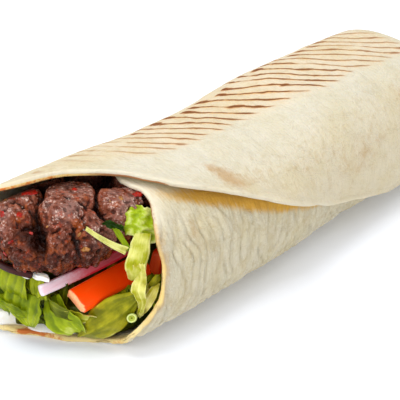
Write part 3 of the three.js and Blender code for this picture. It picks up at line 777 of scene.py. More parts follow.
def meatMaterial():
    paint = Paint("minced meat", Subsurface_Weight=0.04, Subsurface_Radius=(1.0, 0.35, 0.2),
                  Subsurface_Scale=0.002, Specular_IOR_Level=0.15)
    hollow, pit, top = paint.value("hollow"), paint.value("pit"), paint.value("top")
    broad = paint.noise(0.1, 3, roughness=0.6)
    middle = paint.noise(0.4, 4, roughness=0.65)
    fine = paint.noise(1.3, 4, roughness=0.7)
    wander = paint.node("ShaderNodeTexNoise", {}, {"Vector": paint.place, "Scale": 0.6}, 1)
    warped = paint.node("ShaderNodeVectorMath", {"operation": "ADD"}, {0: paint.place, 1: wander}, "Vector")
    crumbs = paint.node("ShaderNodeTexVoronoi", {"feature": "SMOOTH_F1"},
                        {"Vector": warped, "Scale": 0.62, "Smoothness": 0.6}, "Distance")
    specks = paint.node("ShaderNodeTexVoronoi", {}, {"Vector": warped, "Scale": 1.5}, "Distance")
    up = paint.node("ShaderNodeSeparateXYZ", {}, {"Vector": paint.place}, "Z")
    low = 1 - paint.step(up + (middle - 0.5) * 14, 41, 53)
    paint.ground(paint.step(broad, 0.38, 0.62), "#8c4830", "#6c3422")
    paint.over(low * 0.9, "#3c1202")
    rust = paint.step(paint.noise(0.17, 3, roughness=0.6) + low * 0.06, 0.53, 0.66)
    paint.over(rust * (0.85 - low * 0.35), "#a8501c")
    # painted sheen: a lilac glaze of light on the lumps' tops
    paintedCrownSheen = paint.step(top, 0.6, 0.95) * paint.step(paint.noise(0.25, 3, roughness=0.6), 0.36, 0.56)
    paint.over(paintedCrownSheen * 0.7 * (1 - low), "#a17a70")
    embers = paint.step(paint.noise(0.31, 3, roughness=0.6), 0.6, 0.68)
    paint.over(embers * 0.6, "#b8421a")
    paint.spread(middle, 0.53, 0.64, 0.5, "#74281a")
    # painted highlight on the crumbs' tops and on fine pale specks of fat, fine dark specks, and painted
    # shade between the crumbs
    paint.over(paint.step(crumbs, 0.45, 0.2) * (0.4 - low * 0.34), "#a86c58")
    paint.over(paint.step(fine, 0.57, 0.68) * (0.35 - low * 0.27), "#c89a8c")
    paint.spread(fine, 0.44, 0.34, 0.35, "#300f08")
    paint.spread(crumbs, 0.55, 0.85, 0.6, "#300f08")
    # painted shade: darker in small pits, in hollows and low between the lumps
    paint.spread(pit, 0.03, 0.2, 0.6, "#250b06")
    paint.spread(hollow, 0.1, 0.85, 0.92, "#1c0804")
    paint.spread(top, 0.62, 0.34, 0.88, "#1c0804")
    # painted glints: highlights of the fat on the crumbs' tops
    paintedGlints = paint.step(pit, -0.04, -0.16) * paint.step(fine, 0.48, 0.6) + paint.step(crumbs, 0.3, 0.16)
    paintedGlints = paintedGlints * paint.step(paint.noise(0.3, 2), 0.4, 0.6) * paint.step(top, 0.5, 0.8)
    paint.over((paintedGlints * (0.66 - low * 0.56)).clamped(), "#f2d4c6")
    rough = 0.3 - paint.step(middle, 0.42, 0.6) * 0.15
    return paint.finish(rough, fine * 0.15 + middle * 1.2 - crumbs * 1.1 - specks * 0.15, 1.0)


# bits that show on the meat: x, y, z and scale of each, their size along, across and up, and how
# many more lie elsewhere on it
bits = {
    "chili_flakes": dict(tint="#b01405", size=(1.3, 0.8, 0.35), more=9, seed=3, places=[
        (-11.5, -76, 64, 2.3), (-5.9, -86.3, 58.7, 1.3), (-11.4, -90, 58, 1.2), (-5.6, -92.2, 50.1, 0.8),
        (-8.3, -92.3, 43.9, 1.0), (16.6, -47, 58.4, 1.9), (0.8, -63.9, 61.8, 1.0)]),
    "fried_onion_bits": dict(tint="#b07a3c", size=(1.1, 0.7, 0.4), more=10, seed=5, places=[
        (2.5, -53.2, 61, 1.0), (15.4, -55.1, 59.5, 1.1), (14.5, -77.6, 53.2, 0.9), (16.3, -76, 47.4, 1.8)]),
}
elsewhere = [(-26, 16), (-95, -40), (38, 62), (0.4, 0.8)]


def makeBits(name, bit, meatTree):
    bm = bmesh.new()
    chance = random.Random(bit["seed"])
    more = [[chance.uniform(*span) for span in elsewhere] for _ in range(bit["more"])]
    for x, y, z, scale in bit["places"] + more:
        point, facing, _, _ = meatTree.find_nearest(Vector((x, y, z)))
        along = facing.cross(Vector((chance.uniform(-1, 1), chance.uniform(-1, 1), 1))).normalized()
        across = facing.cross(along)
        offset = Vector((x, y, z))
        for v in bmesh.ops.create_icosphere(bm, subdivisions=3, radius=1)["verts"]:
            rough = 1 + 0.5 * noise.noise(v.co * 1.6 + offset)
            a, b, c = [u * n * scale * rough for u, n in zip(v.co, bit["size"])]
            v.co = point + along * a + across * b + facing * (c - 0.05)
    paint = Paint(name.replace("_", " "), Subsurface_Weight=0.2, Subsurface_Radius=(1.0, 0.4, 0.2),
                  Subsurface_Scale=0.002, Specular_IOR_Level=0.4)
    cloudy = paint.noise(0.9, 3)
    paint.ground(paint.step(cloudy, 0.4, 0.65) * 0.6, bit["tint"], "#5a1d0a")
    finishPiece(bm, name, paint.finish(0.22 + cloudy * 0.2, cloudy, 0.3))


# ---- bars: the strips and slices of tomato and onion

# path: its middle line; up: the way its height points; roundness: of its section; endRound: of its
# ends; ragged, undercut: of its front part; tints: front, back and rim or skin
usualBar = dict(mesh=(28, 40), crowd=0.08, frontPart=0.25, roundness=0.45, ragged=0, undercut=0)
bars = {
    "tomato_strip": dict(
        path=[(13.6, -80, 25.9), (13.6, -62, 25.6), (13.6, -44, 25), (13.6, -20, 24.4)], up=(-0.85, 0, 0.53),
        height=9.8, thickness=5.6, endRound=0.7, ragged=0.9, undercut=2.4, seed=1,
        tints=("#ff4804", "#ff3002", "#f7c08a")),
    # its tints are far darker than the strip's: painted shade, as it lies further back in the mouth
    "tomato_slice": dict(
        path=[(27, -50, 34.4), (26.5, -34, 34.6), (25, -14, 34)], up=(0.25, 0, 1),
        height=11, thickness=5, endRound=1.6, ragged=0.6, seed=2,
        tints=("#b02204", "#7c1202", "#b04a20")),
    "onion_strip": dict(
        path=[(3.2, -86.5, 30), (5, -76, 30.4), (7.6, -60, 31.2), (8.6, -40, 31.6)], up=(-0.5, 0, 1),
        height=4.3, thickness=2.6, roundness=0.55, endRound=0.9, seed=3,
        tints=("#f2e6ee", "#d82c3c", "#dfaebc")),
    # its tints are far darker than the onion strip's: painted shade of the meat above it
    "onion_slice": dict(
        path=[(-27, -82, 36), (-19, -88.5, 36.8), (-8, -91, 37.4), (1.5, -88.5, 37)], up=(0, -0.15, 1),
        height=3.2, thickness=1.8, roundness=0.6, endRound=0.7, seed=4,
        tints=("#3a1010", "#240806", "#5a241e")),
}


def makeBar(name, shape, material):
    bar = {**usualBar, **shape}
    bm = bmesh.new()
    layers = vertexValues(bm, "along around")
    path, height, thickness, seed = bar["path"], bar["height"], bar["thickness"], bar["seed"]
    length = sum((Vector(b) - Vector(a)).length for a, b in zip(path, path[1:]))
    for v, s, t in grid(bm, *bar["mesh"]):
        turn = 2 * pi * s
        t -= bar["crowd"] * sin(2 * pi * t)       # more rings near the ends
        point, ahead = onPath(path, t)
        across = ahead.cross(Vector(bar["up"])).normalized()
        tall = across.cross(ahead).normalized()
        out = 1 - min(min(t, 1 - t) * length / bar["endRound"], 1)
        drawnIn = 1 - sqrt(max(1 - out * out, 0))
        size = 1 - bar["endRound"] / max(height, thickness) * 2 * drawnIn
        h = height / 2 * size * signedPower(cos(turn), bar["roundness"])
        w = thickness / 2 * size * signedPower(sin(turn), bar["roundness"])
        if t < bar["frontPart"]:
            shift = twoNoises((h / 1.6 + seed, w / 1.6, seed), (h / 0.7, w / 0.7, seed))
            back = bar["ragged"] * shift * max(1 - t / 0.1, 0)
            back += bar["undercut"] * (0.5 - w / thickness) * (1 - t / bar["frontPart"])
            point = point + ahead * back
        v.co = point + tall * h + across * w
        store(v, layers, along=t, around=s)
    closeTube(bm, bm.verts[:], 1e-4)
    finishPiece(bm, name + "_flesh", material, [name])


def tomatoMaterial(name, bright, deep, rim):
    # the emission is painted light: the flesh glows as if light came through it
    paint = Paint(name, Emission_Color=tint(bright), Emission_Strength=0.15,
                  Subsurface_Weight=0.3, Subsurface_Radius=(1.0, 0.25, 0.08), Subsurface_Scale=0.003,
                  Specular_IOR_Level=0.15, Coat_Weight=0.15, Coat_Roughness=0.1)
    along, around = paint.value("along"), paint.value("around")
    cloudy = paint.noise(0.3, 3)
    fibres = paint.streaks(3, along * 5, around * 24)
    paint.ground(paint.step(along + (cloudy - 0.5) * 0.5, 0.15, 0.75), bright, deep)
    paint.spread(fibres, 0.55, 0.75, 0.3, "#ff6a22")
    end = 1 - paint.step(along + (fibres - 0.5) * 0.02, 0.004, 0.016)
    paint.over(end * 0.85, rim)
    return paint.finish(0.24 + fibres * 0.16, cloudy * 0.5 + fibres * 0.35, 0.3)


def onionMaterial(name, front, back, skin):
    # the emission is painted light: the flesh glows as if light came through it
    paint = Paint(name, Emission_Color=tint(back), Emission_Strength=0.1,
                  Subsurface_Weight=0.3, Subsurface_Radius=(1.0, 0.5, 0.5), Subsurface_Scale=0.002,
                  Specular_IOR_Level=0.1, Coat_Weight=0.06, Coat_Roughness=0.15)
    along, around = paint.value("along"), paint.value("around")
    fibres = paint.streaks(3, along * 3, around * 22)
    cells = paint.noise(0.9, 3)
    paint.ground(paint.step(along + (cells - 0.5) * 0.2, 0.3, 0.6), front, back)
    paint.spread(fibres, 0.48, 0.7, 0.35, skin)
    rim = 1 - paint.step(abs(abs(around - 0.5) - 0.25), 0.02, 0.1)
    paint.over(rim * 0.3, skin)
    return paint.finish(0.28 + cells * 0.12, fibres * 0.6 + cells * 0.2, 0.2)


# ---- sauce

sauce = dict(
    depth=2.4, thin=0.5, start=164, end=252, back=88, frontGap=1.8, gap=0.25, mesh=(60, 70), crowd=1.6,
    wave=2.4, waveTurn=0.23, blobs=(1.2, 0.9),
    # mounds behind the front: angle, width, height
    mounds=[(211, 12, 5.4), (184, 6, 1.8)], moundLength=9,
    # dabs: middle, half sizes
    dabs=[((1.6, -85.2, 35.4), (5, 1.7, 1.5)), ((-4, -87, 34.6), (3, 1.3, 1.1))],
)


def makeSauce(material):
    bm = bmesh.new()
    layers = vertexValues(bm, "across run")
    for v, s, t in grid(bm, *sauce["mesh"]):
        store(v, layers, across=s, run=t ** sauce["crowd"])
    upper = extruded(bm, bm.faces[:])
    for v in bm.verts:
        s, t = v[layers["across"]], v[layers["run"]]
        angle = lerp(sauce["start"], sauce["end"], s)
        blob = twoNoises((angle / 9, t * 30, 2), (angle / 3.5, t * 70, 5))
        waves = sauce["wave"] * sin(angle * sauce["waveTurn"]) + sauce["blobs"][0] * blob
        front = through(bread["frontEdge"], angle) + sauce["frontGap"] + waves
        y = lerp(front, sauce["back"], t)
        edge = sin(pi * s) ** 0.5 * smoothstep(-0.004, 0.02, t)
        mound = sum(high * bell(angle, wide, middle) for middle, wide, high in sauce["mounds"])
        mound *= bell(y, sauce["moundLength"], front)
        deepest = sauce["depth"] + mound + sauce["blobs"][1] * blob
        raised = sauce["gap"] + (lerp(sauce["thin"], deepest, edge) if v in upper else 0)
        v.co = sectionPoint(angle, y, insideInset(angle) + raised, bread["thickness"] + raised)
    for middle, size in sauce["dabs"]:
        for v in bmesh.ops.create_icosphere(bm, subdivisions=4, radius=1)["verts"]:
            swell = 1 + 0.35 * noise.noise(v.co * 1.7 + Vector(middle))
            v.co = Vector(middle) + Vector([c * half * swell for c, half in zip(v.co, size)])
    finishPiece(bm, "white_sauce", material, ["sauce"])


def sauceMaterial():
    paint = Paint("white sauce", Subsurface_Weight=0.3, Subsurface_Radius=(1.0, 0.85, 0.6),
                  Subsurface_Scale=0.002, Specular_IOR_Level=0.3)
    cloudy = paint.noise(0.4, 3)
    paint.ground(paint.step(cloudy, 0.4, 0.7) * 0.5, "#fbf8f0", "#f3e8cf")
    return paint.finish(0.22 + cloudy * 0.15, paint.noise(0.8, 2), 0.2)


# ---- lettuce

leafValues = "across along tone fresh ridge crisp"
# spine: its middle line; side: the way it spreads; width: half widths along it; cup: its bend across;
# ruffle, waves: of its edges; folds, pleat: ribs across it and their height; crisp: how crumpled it is;
# tone: 0 dark to 1 pale, from its first end to its last; fresh: 0 olive to 1 green
usualLeaf = dict(mesh=(34, 30), thickness=0.65, gap=0.3, cup=0.5, ruffle=0.5, waves=1.5, folds=1, pleat=0.2,
                 crisp=0.5)
leaves = [
    # lower right, the large smooth leaf, shaped like a boat
    dict(spine=[(9.5, -73.5, 7.2), (16.5, -73.6, 12), (23.2, -71.4, 18.6), (31.5, -65, 28)],
         side=(-0.45, -0.37, 0.82), width=[0.3, 4.2, 6, 6.8, 6, 2.2], cup=-2.2, ruffle=0.35, waves=1,
         folds=2.4, pleat=0.22, crisp=0.45, tone=(0.52, 0.34), fresh=0.12),
    # lower middle, a triangle
    dict(spine=[(3.2, -79.5, 25), (5.6, -80.8, 20), (8.4, -79.2, 15), (11, -75.5, 10.8)],
         side=(0.85, 0.32, 0.42), width=[3.2, 5.4, 7, 4], cup=0.8, ruffle=0.4, waves=1.2,
         folds=2.6, tone=(0.4, 0.54), fresh=0.7),
    # left, a fan that hangs over the sauce, and one beside it
    dict(spine=[(-6, -85.4, 26), (-5.4, -87, 21.5), (-4.4, -86.8, 16.6), (-3.2, -84.8, 12)],
         side=(1, 0.1, 0), width=[7.6, 8.6, 6.4, 1.4], cup=0.4, ruffle=0.25, waves=1,
         folds=5.5, crisp=0.3, tone=(0.32, 0.46), fresh=0.6),
    dict(spine=[(-20, -82, 22), (-19, -87, 19.5), (-18, -87.5, 16.5), (-17.5, -84, 14)],
         side=(0.9, 0.2, 0), width=[4, 6.4, 6, 2.6], cup=1.3, ruffle=0.7,
         folds=4, crisp=0.4, tone=(0.28, 0.28), fresh=0.6),
    # under the meat, a ribbed bunch
    dict(spine=[(-9.4, -86.6, 35), (-9.4, -88, 31.4), (-9.6, -88, 27.4), (-9.8, -86.4, 23.8)],
         side=(1, 0.05, 0), width=[6, 6.8, 6.8, 6.2], cup=0.3, ruffle=0.1, waves=1,
         folds=4.4, crisp=0.12, tone=(0.54, 0.34), fresh=0.55),
    dict(spine=[(-25, -80, 33), (-24, -88, 28.5), (-24, -89, 22.5), (-23, -85, 16.5)],
         side=(0.9, 0, 0.2), width=[3.5, 6, 6, 3.4], cup=1.4, ruffle=0.6,
         folds=4, crisp=0.3, tone=(0.4, 0.4), fresh=0.6),
    dict(spine=[(-1.2, -84.2, 34.4), (-0.8, -85.2, 31.4), (-0.4, -85.2, 28), (0.2, -84, 24.6)],
         side=(1, 0.1, 0), width=[3.4, 4.4, 4.4, 3.4], cup=-0.6, ruffle=0.25, waves=1,
         folds=3, pleat=0.24, tone=(0.58, 0.38), fresh=0.45),
    # a dark piece under the tomato
    dict(spine=[(0.5, -78.5, 24.5), (5, -82.5, 24), (8.5, -81.8, 22), (11.5, -77, 19)],
         side=(0.1, -0.3, 0.95), width=[2.4, 3.8, 3.6, 2.2], cup=1.2, ruffle=0.3, waves=1,
         pleat=0.15, crisp=0.4, tone=(0.24, 0.24), fresh=0.32),
    # right, the curled leaf that stands in front of the tomato, with its torn tails
    dict(spine=[(26, -55, 49), (27.3, -59, 44), (28, -61.6, 38), (27.6, -61.6, 32.6)],
         side=(0.77, 0.64, 0), width=[3, 3.9, 3.9, 2.8], cup=-1.1, ruffle=0.35,
         folds=1.2, pleat=0.15, tone=(0.78, 0.62), fresh=0.35),
    dict(spine=[(28.6, -60.5, 39.3), (29.9, -61, 33.8), (32.4, -65.5, 31.6), (32.5, -63.5, 25.7),
                (30, -63, 19.1)],
         side=(0.77, 0.64, 0), width=[2.2, 2.1, 2.7, 1.5, 0.6], ruffle=0.9, waves=2.5,
         folds=1.4, tone=(0.8, 0.66), fresh=0.2),
    dict(spine=[(32.9, -55, 30.6), (33, -58.5, 27.5), (32.2, -61, 23.7), (31, -63, 19.9)],
         side=(0.81, 0.37, -0.44), width=[0.8, 1.9, 1.9, 0.9], tone=(0.68, 0.8), fresh=0),
    # between the meat and the right lip, a frilled leaf
    dict(spine=[(17, -61, 51.5), (21, -56, 52.6), (26, -51, 50.8), (30.5, -41, 46)],
         side=(-0.25, 0.35, 0.9), width=[3.4, 5.6, 6.4, 5], cup=-1.2, ruffle=1.2, waves=2.4,
         folds=3, pleat=0.15, crisp=1.3, tone=(0.42, 0.9), fresh=0.85),
    # a ribbed shred that lies against the meat, a thin leaf and a herb beside it
    dict(spine=[(18, -77, 57.4), (19.8, -72, 52.3), (21.4, -66.5, 47.4), (23.4, -61.5, 43.6)],
         side=(0.3, 0.2, 0.9), width=[0.9, 1.1, 1.4, 1.8], ruffle=0, waves=1,
         folds=2, crisp=0.1, tone=(0.9, 0.9), fresh=0.3),
    dict(spine=[(17, -64, 53), (19.6, -62.6, 51), (21.6, -61.4, 47.4), (23.4, -60, 43.4)],
         side=(0.5, 0.5, 0.7), width=[0.5, 1.2, 1, 0.9], ruffle=0.2, waves=1,
         pleat=0.15, crisp=0.2, tone=(0.5, 0.5), fresh=0.9),
    dict(spine=[(16.8, -67, 54.5), (18.5, -66, 55), (20.5, -64, 54), (22, -61.5, 52.5)],
         side=(0.2, 0.3, 0.9), width=[0.7, 1.3, 1.2, 0.6], cup=0.6, ruffle=0.7, waves=2,
         crisp=0.8, tone=(0.02, 0.02), fresh=1),
    # smaller pieces between the others
    dict(spine=[(5, -79.5, 20.5), (9, -79, 19.5), (13, -76, 18.5), (18, -71, 18)],
         side=(0.2, -0.3, 0.93), width=[1.5, 2.8, 3, 1.6], cup=1,
         folds=1.5, crisp=0.6, tone=(0.62, 0.62), fresh=0.3),
    dict(spine=[(-15, -88, 20.5), (-10, -88.5, 19.8), (-6, -87.5, 18.6), (-2.5, -84, 17.5)],
         side=(0, -0.2, 1), width=[1.2, 2, 2, 1], cup=0.8, crisp=0.6, tone=(0.3, 0.3), fresh=0.6),
    dict(spine=[(28.4, -56, 28.9), (30.1, -58, 26.2), (29.5, -59.5, 22.8), (28.8, -61, 19.8)],
         side=(0.7, 0.5, 0.3), width=[1.2, 1.8, 1.8, 1.2], cup=0.6, tone=(0.66, 0.5), fresh=0.15),
    dict(spine=[(22.4, -65, 12.4), (24, -64, 14.7), (25.7, -62.5, 18.5), (26.5, -60, 21.9)],
         side=(-0.4, -0.3, 0.85), width=[0.6, 1.5, 1.7, 1], cup=0.6, ruffle=0.4,
         crisp=0.6, tone=(0.08, 0.08), fresh=0.4),
    dict(spine=[(33.8, -56, 34.7), (33.3, -56.5, 32.6), (32.2, -57, 30.3), (31.2, -57, 28.3)],
         side=(0.77, 0.6, 0), width=[0.8, 1.6, 1.6, 0.9], cup=-0.6, ruffle=0.1, waves=1,
         pleat=0.1, crisp=0.15, tone=(0.3, 0.3), fresh=0),
]


def addLeaf(bm, shape, seed):
    leaf = {**usualLeaf, **shape}
    crisp, ruffle, waves = leaf["crisp"], leaf["ruffle"], 2 * pi * leaf["waves"]
    length = (Vector(leaf["spine"][-1]) - Vector(leaf["spine"][0])).length
    widths = [(k / (len(leaf["width"]) - 1), w) for k, w in enumerate(leaf["width"])]
    wide = Vector(leaf["side"]).normalized()
    layers = vertexValues(bm, leafValues)
    made = grid(bm, *leaf["mesh"])
    for v, s, t in made:
        store(v, layers, across=2 * s - 1, along=t, tone=lerp(*leaf["tone"], t), fresh=leaf["fresh"],
              crisp=crisp)
    verts = [v for v, _, _ in made]
    back = extruded(bm, list({f for v in verts for f in v.link_faces}))
    for v in [*verts, *back]:
        u, t = v[layers["across"]], v[layers["along"]]
        edge = 3 if u > 0 else 8
        middle, ahead = onPath(leaf["spine"], t)
        face = ahead.cross(wide).normalized()
        ends = (t - 0.5) * 0.14 * crisp * twoNoises((u * 2.5, seed, 4), (u * 8, seed, 1))
        middle = middle + ahead * ends * length
        torn = 1 + 0.2 * crisp * twoNoises((t * 4, edge, seed), (t * 13, edge, seed))
        place = middle + wide * (through(widths, t) * torn * u)
        rim = abs(u) ** 2.2
        wave = ruffle * rim * sin(waves * t + (0 if u > 0 else 1.9))
        frill = ruffle * 0.5 * rim * sin(waves * 3.3 * t + seed + u)
        turn = leaf["folds"] * (u / 2 + 0.5) * (0.75 + 0.25 * t) + seed
        turn += 0.22 * noise.noise((u * 1.5, t * 1.5, seed))
        ridge = cos(2 * pi * turn)
        crumple = noise.noise(place / 4.2 + Vector((seed, 0, 0))) + 0.5 * crisp * noise.noise(place / 1.6)
        lift = leaf["cup"] * u * u + wave + frill + leaf["pleat"] * ridge + crumple * crisp
        thick = leaf["thickness"] * (1 - 0.6 * rim)
        lift += -thick / 2 if v in back else thick / 2
        v.co = keepInside(place + face * lift, leaf["gap"])
        # a pale vein on each rib, and shade that falls off from one rib to the next
        vein = 0.5 * max(ridge, 0) ** 8 + 0.33 - 0.66 * (turn % 1)
        store(v, layers, ridge=vein * min(leaf["pleat"] * 4, 1) + 1.1 * crumple * min(crisp + 0.3, 1))


def makeLettuce(material):
    bm = bmesh.new()
    for k, leaf in enumerate(leaves):
        addLeaf(bm, leaf, k * 1.37)
    finishPiece(bm, "lettuce_leaves", material, ["lettuce"])


def lettuceMaterial():
    paint = Paint("lettuce", Subsurface_Weight=0.12, Subsurface_Radius=(0.6, 1.0, 0.1),
                  Subsurface_Scale=0.0015, Specular_IOR_Level=0.1, Coat_Weight=0.08, Coat_Roughness=0.15)
    across, along, tone = paint.value("across"), paint.value("along"), paint.value("tone")
    cloudy = paint.noise(0.22, 3, roughness=0.6)
    fine = paint.noise(1.2, 3, roughness=0.6)
    fibres = paint.streaks(3, across * 6, along * 1.6, tone * 30)
    rim = paint.step(abs(across), 0.8, 0.98)
    veined = (fibres - 0.5) * paint.value("crisp").smaller(0.8) * 0.6
    shade = tone + paint.value("ridge") * 0.24 + (cloudy - 0.5) * 0.5 + veined + rim * tone * 0.25
    shade = shade.clamped()
    olive = paint.ramp(shade, [(0.0, "#2e3303"), (0.3, "#716f04"), (0.62, "#aba01a"), (1.0, "#f0e890")])
    green = paint.ramp(shade, [(0.0, "#1c3603"), (0.3, "#5f7f04"), (0.62, "#9fba14"), (1.0, "#e9f09a")])
    paint.mix(paint.value("fresh"), olive, green)
    return paint.finish(0.3 + fine * 0.2, fine * 0.3 + fibres * 0.8 + cloudy * 0.3, 0.25)


# the heap under them: where its sloping front starts, how high it is, and where it steps back
heap = dict(
    front=-74, slope=0.42, rise=0.22, base=6, back=112, formFrom=-72, mesh=(72, 90), crowd=1.6, gap=1.0,
    setBack=10, setBackSpan=(15, 27), top=31,
    # two lower parts at the right: height, from where across, up to where along
    steps=[(24, (-2, 1), (-62, -59)), (21, (5, 8), (-44, -39))],
)
stepTop, shelfTop = [height for height, _, _ in heap["steps"]]


def heapTop(x, y):
    top = heap["top"]
    for height, across, along in heap["steps"]:
        top -= (heap["top"] - height) * smoothstep(*across, x) * (1 - smoothstep(*along, y))
    return max(top, shelfTop)


def heapFront(x, z):
    return heap["front"] + heap["slope"] * x - heap["rise"] * (z - heap["base"])


def makeCore(material):
    bm = bmesh.new()
    layers = vertexValues(bm, leafValues)
    for v, s, t in grid(bm, *heap["mesh"]):
        turn, run = 360 * s, t ** heap["crowd"]
        point = sectionPoint(turn, lerp(heap["formFrom"], heap["back"], run),
                             insideInset(turn) + heap["gap"], bread["thickness"] + heap["gap"])
        bumps = twoNoises(point / 3.5, point / 1.6)
        point.z = min(point.z, heap["top"])
        start = heapFront(point.x, point.z) + heap["setBack"] * smoothstep(*heap["setBackSpan"], point.x)
        point.y = lerp(start + 1.4 * bumps, heap["back"], run)
        point.z = min(point.z, heapTop(point.x, point.y) + bumps)
        store(v, layers, tone=0.1, fresh=0.4, ridge=bumps * 0.6,
              across=0.8 * sin(point.x), along=t * 9, crisp=0.8)
        v.co = point
    closeTube(bm, bm.verts[:], 1e-3)
    bmesh.ops.triangulate(bm, faces=[f for f in bm.faces if len(f.verts) > 4])
    finishPiece(bm, "lettuce_core", material)


# the spans that they are drawn from; at the right they lie lower, from x = stepFrom and x = shelfFrom
# on, and flat from x = flatFrom on; the others stay where x is over bareRight or z over bareTop
shreds = dict(
    count=110, seed=11, mesh=(12, 14), across=(-35, 36), up=(6, 32), length=(7, 13), width=(1.4, 2.8),
    bend=(0.5, 2.2), setBack=(5, 26), tone=(0.02, 0.42), fresh=(0.1, 0.8),
    stepFrom=1, shelfFrom=8, flatFrom=6, bareRight=-4, bareTop=17,
)


# small torn pieces that lie over the heap's front and top, wherever the large leaves leave it bare
def makeShreds(material):
    bm = bmesh.new()
    chance = random.Random(shreds["seed"])
    slope = Vector((-heap["slope"], 1, heap["rise"])).normalized()
    for k in range(shreds["count"]):
        x, z = chance.uniform(*shreds["across"]), chance.uniform(*shreds["up"])
        if x > shreds["stepFrom"]:
            z = min(z, stepTop if x < shreds["shelfFrom"] else shelfTop - 2)
        onTop = k % 3 == 0 or (x > shreds["flatFrom"] and z < stepTop)
        y = heapFront(x, z) + 0.6
        if onTop:
            y += chance.uniform(*shreds["setBack"])
            z = heapTop(x, y) + 0.5
        normal = Vector((0, 0, 1)) if onTop else -slope
        turn = chance.uniform(0, pi)
        right = normal.cross(Vector((1, 0.4, 0) if onTop else (0.2, 0.3, 1))).normalized()
        along = (right * cos(turn) + normal.cross(right) * sin(turn)).normalized()
        half = chance.uniform(*shreds["length"]) / 2
        bend = chance.uniform(*shreds["bend"])
        middle = Vector((x, y, z))
        spine = [middle + along * half * w + normal * bend * (1 - w * w) for w in (-1, -0.35, 0.35, 1)]
        width = chance.uniform(*shreds["width"])
        shape = dict(mesh=shreds["mesh"], spine=spine, side=normal.cross(along),
                     width=[width * 0.5, width, width, width * 0.4],
                     cup=chance.uniform(-1, 1), ruffle=0.6, folds=chance.uniform(1, 2.5),
                     tone=[chance.uniform(*shreds["tone"])] * 2, fresh=chance.uniform(*shreds["fresh"]))
        if x > shreds["bareRight"] or z > shreds["bareTop"]:
            addLeaf(bm, shape, 40 + k * 0.71)
    finishPiece(bm, "lettuce_shreds", material)


springOnion = dict(centre=(30.7, -67.4, 20.3), lean=(-0.5, 0.75, -0.42), outer=1.8, inner=0.2, length=3,
                   recess=0.6, rim=(0.55, 0.75), roundness=0.35, wobble=0.06, mesh=(40, 24))


def makeSpringOnion():
    bm = bmesh.new()
    layers = vertexValues(bm, "across")
    ahead = Vector(springOnion["lean"]).normalized()
    right = ahead.cross(Vector((0, 0, 1))).normalized()
    up = right.cross(ahead)
    outer, inner, halfLength = springOnion["outer"], springOnion["inner"], springOnion["length"] / 2
    for v, s, t in grid(bm, *springOnion["mesh"]):
        turn, loop = pi * (2 * s - 1), pi * (2 * t - 1)
        radius = (outer + inner) / 2 + (outer - inner) / 2 * cos(loop)
        rim = smoothstep(*springOnion["rim"], radius / outer)
        out = signedPower(sin(loop), springOnion["roundness"]) * halfLength
        out *= lerp(springOnion["recess"], 1, rim)
        radius *= 1 + springOnion["wobble"] * sin(turn * 2 + 1)
        store(v, layers, across=rim)
        v.co = (Vector(springOnion["centre"]) + ahead * (out + halfLength)
                + (right * cos(turn) + up * sin(turn)) * radius)
    bmesh.ops.remove_doubles(bm, verts=bm.verts[:], dist=1e-3)
    paint = Paint("spring onion", Subsurface_Weight=0.15, Subsurface_Radius=(0.6, 1.0, 0.2),
                  Subsurface_Scale=0.0015, Specular_IOR_Level=0.25)
    cloudy = paint.noise(0.6, 3)
    paint.ground(paint.step(paint.value("across") + (cloudy - 0.5) * 0.3, 0.3, 0.8), "#a2ac34", "#cdd884")
    finishPiece(bm, "spring_onion_ring", paint.finish(0.3 + cloudy * 0.15, cloudy, 0.15))


# ---- floor, lights and camera

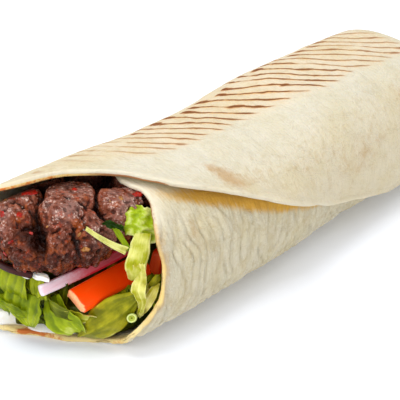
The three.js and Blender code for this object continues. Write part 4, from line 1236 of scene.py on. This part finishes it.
studio = dict(
    azimuth=40, elevation=28, distance=1.1, target=(2.62, -15.76, 29.7),
    focalPixels=2860, framePixels=400, sensorWidth=36, clip=(0.05, 50),
    floorSize=8, floorTint="#e9edf6", floorGlow=0.13, worldLight=0.84,
    # name, direction it comes from (azimuth, elevation), distance, size, watts
    lights=[("key", -20, 74, 1.6, 0.8, 11), ("fill", 12, 34, 1.8, 0.8, 9)],
)
target = Vector(studio["target"]) * millimetre


# puts a thing at a distance from the target, and turns it to it
def aim(thing, azimuth, elevation, distance):
    a, e = radians(azimuth), radians(elevation)
    away = distance * Vector((sin(a) * cos(e), -cos(a) * cos(e), sin(e)))
    thing.location = target + away
    thing.rotation_euler = (-away).to_track_quat("-Z", "Y").to_euler()


def makeStudio():
    bm = bmesh.new()
    bmesh.ops.create_grid(bm, x_segments=1, y_segments=1, size=studio["floorSize"])
    paint = Paint("floor", Roughness=0.9, Specular_IOR_Level=0.1, Emission_Color=(1, 1, 1, 1),
                  Emission_Strength=studio["floorGlow"])
    paint.ground(paint.noise(0.002, 1) * 0.05, studio["floorTint"], "#ffffff")
    floor = meshObject(bm, "floor", paint.finish())
    world = bpy.data.worlds.new("studio")
    world.use_nodes = True
    background = world.node_tree.nodes["Background"].inputs
    background["Color"].default_value = (1, 1, 1, 1)
    background["Strength"].default_value = studio["worldLight"]
    bpy.context.scene.world = world
    for name, azimuth, elevation, distance, size, power in studio["lights"]:
        light = bpy.data.lights.new(name, "AREA")
        light.energy, light.size = power, size
        aim(linked(name, light), azimuth, elevation, distance)
    lens = bpy.data.cameras.new("camera")
    lens.sensor_width = studio["sensorWidth"]
    lens.lens = studio["focalPixels"] / studio["framePixels"] * lens.sensor_width
    lens.clip_start, lens.clip_end = studio["clip"]
    camera = linked("camera", lens)
    aim(camera, studio["azimuth"], studio["elevation"], studio["distance"])
    bpy.context.scene.camera = camera
    bpy.context.scene.view_settings.view_transform = "Standard"
    print("studio ready")


makeStudio()
makeFlatbread(breadMaterial())
meatTree = makeMeat(meatMaterial())
for name, bit in bits.items():
    makeBits(name, bit, meatTree)
for name, bar in bars.items():
    material = tomatoMaterial if name.startswith("tomato") else onionMaterial
    makeBar(name, bar, material(name.replace("_", " "), *bar["tints"]))
makeSauce(sauceMaterial())
lettuce = lettuceMaterial()
makeLettuce(lettuce)
makeCore(lettuce)
makeShreds(lettuce)
makeSpringOnion()
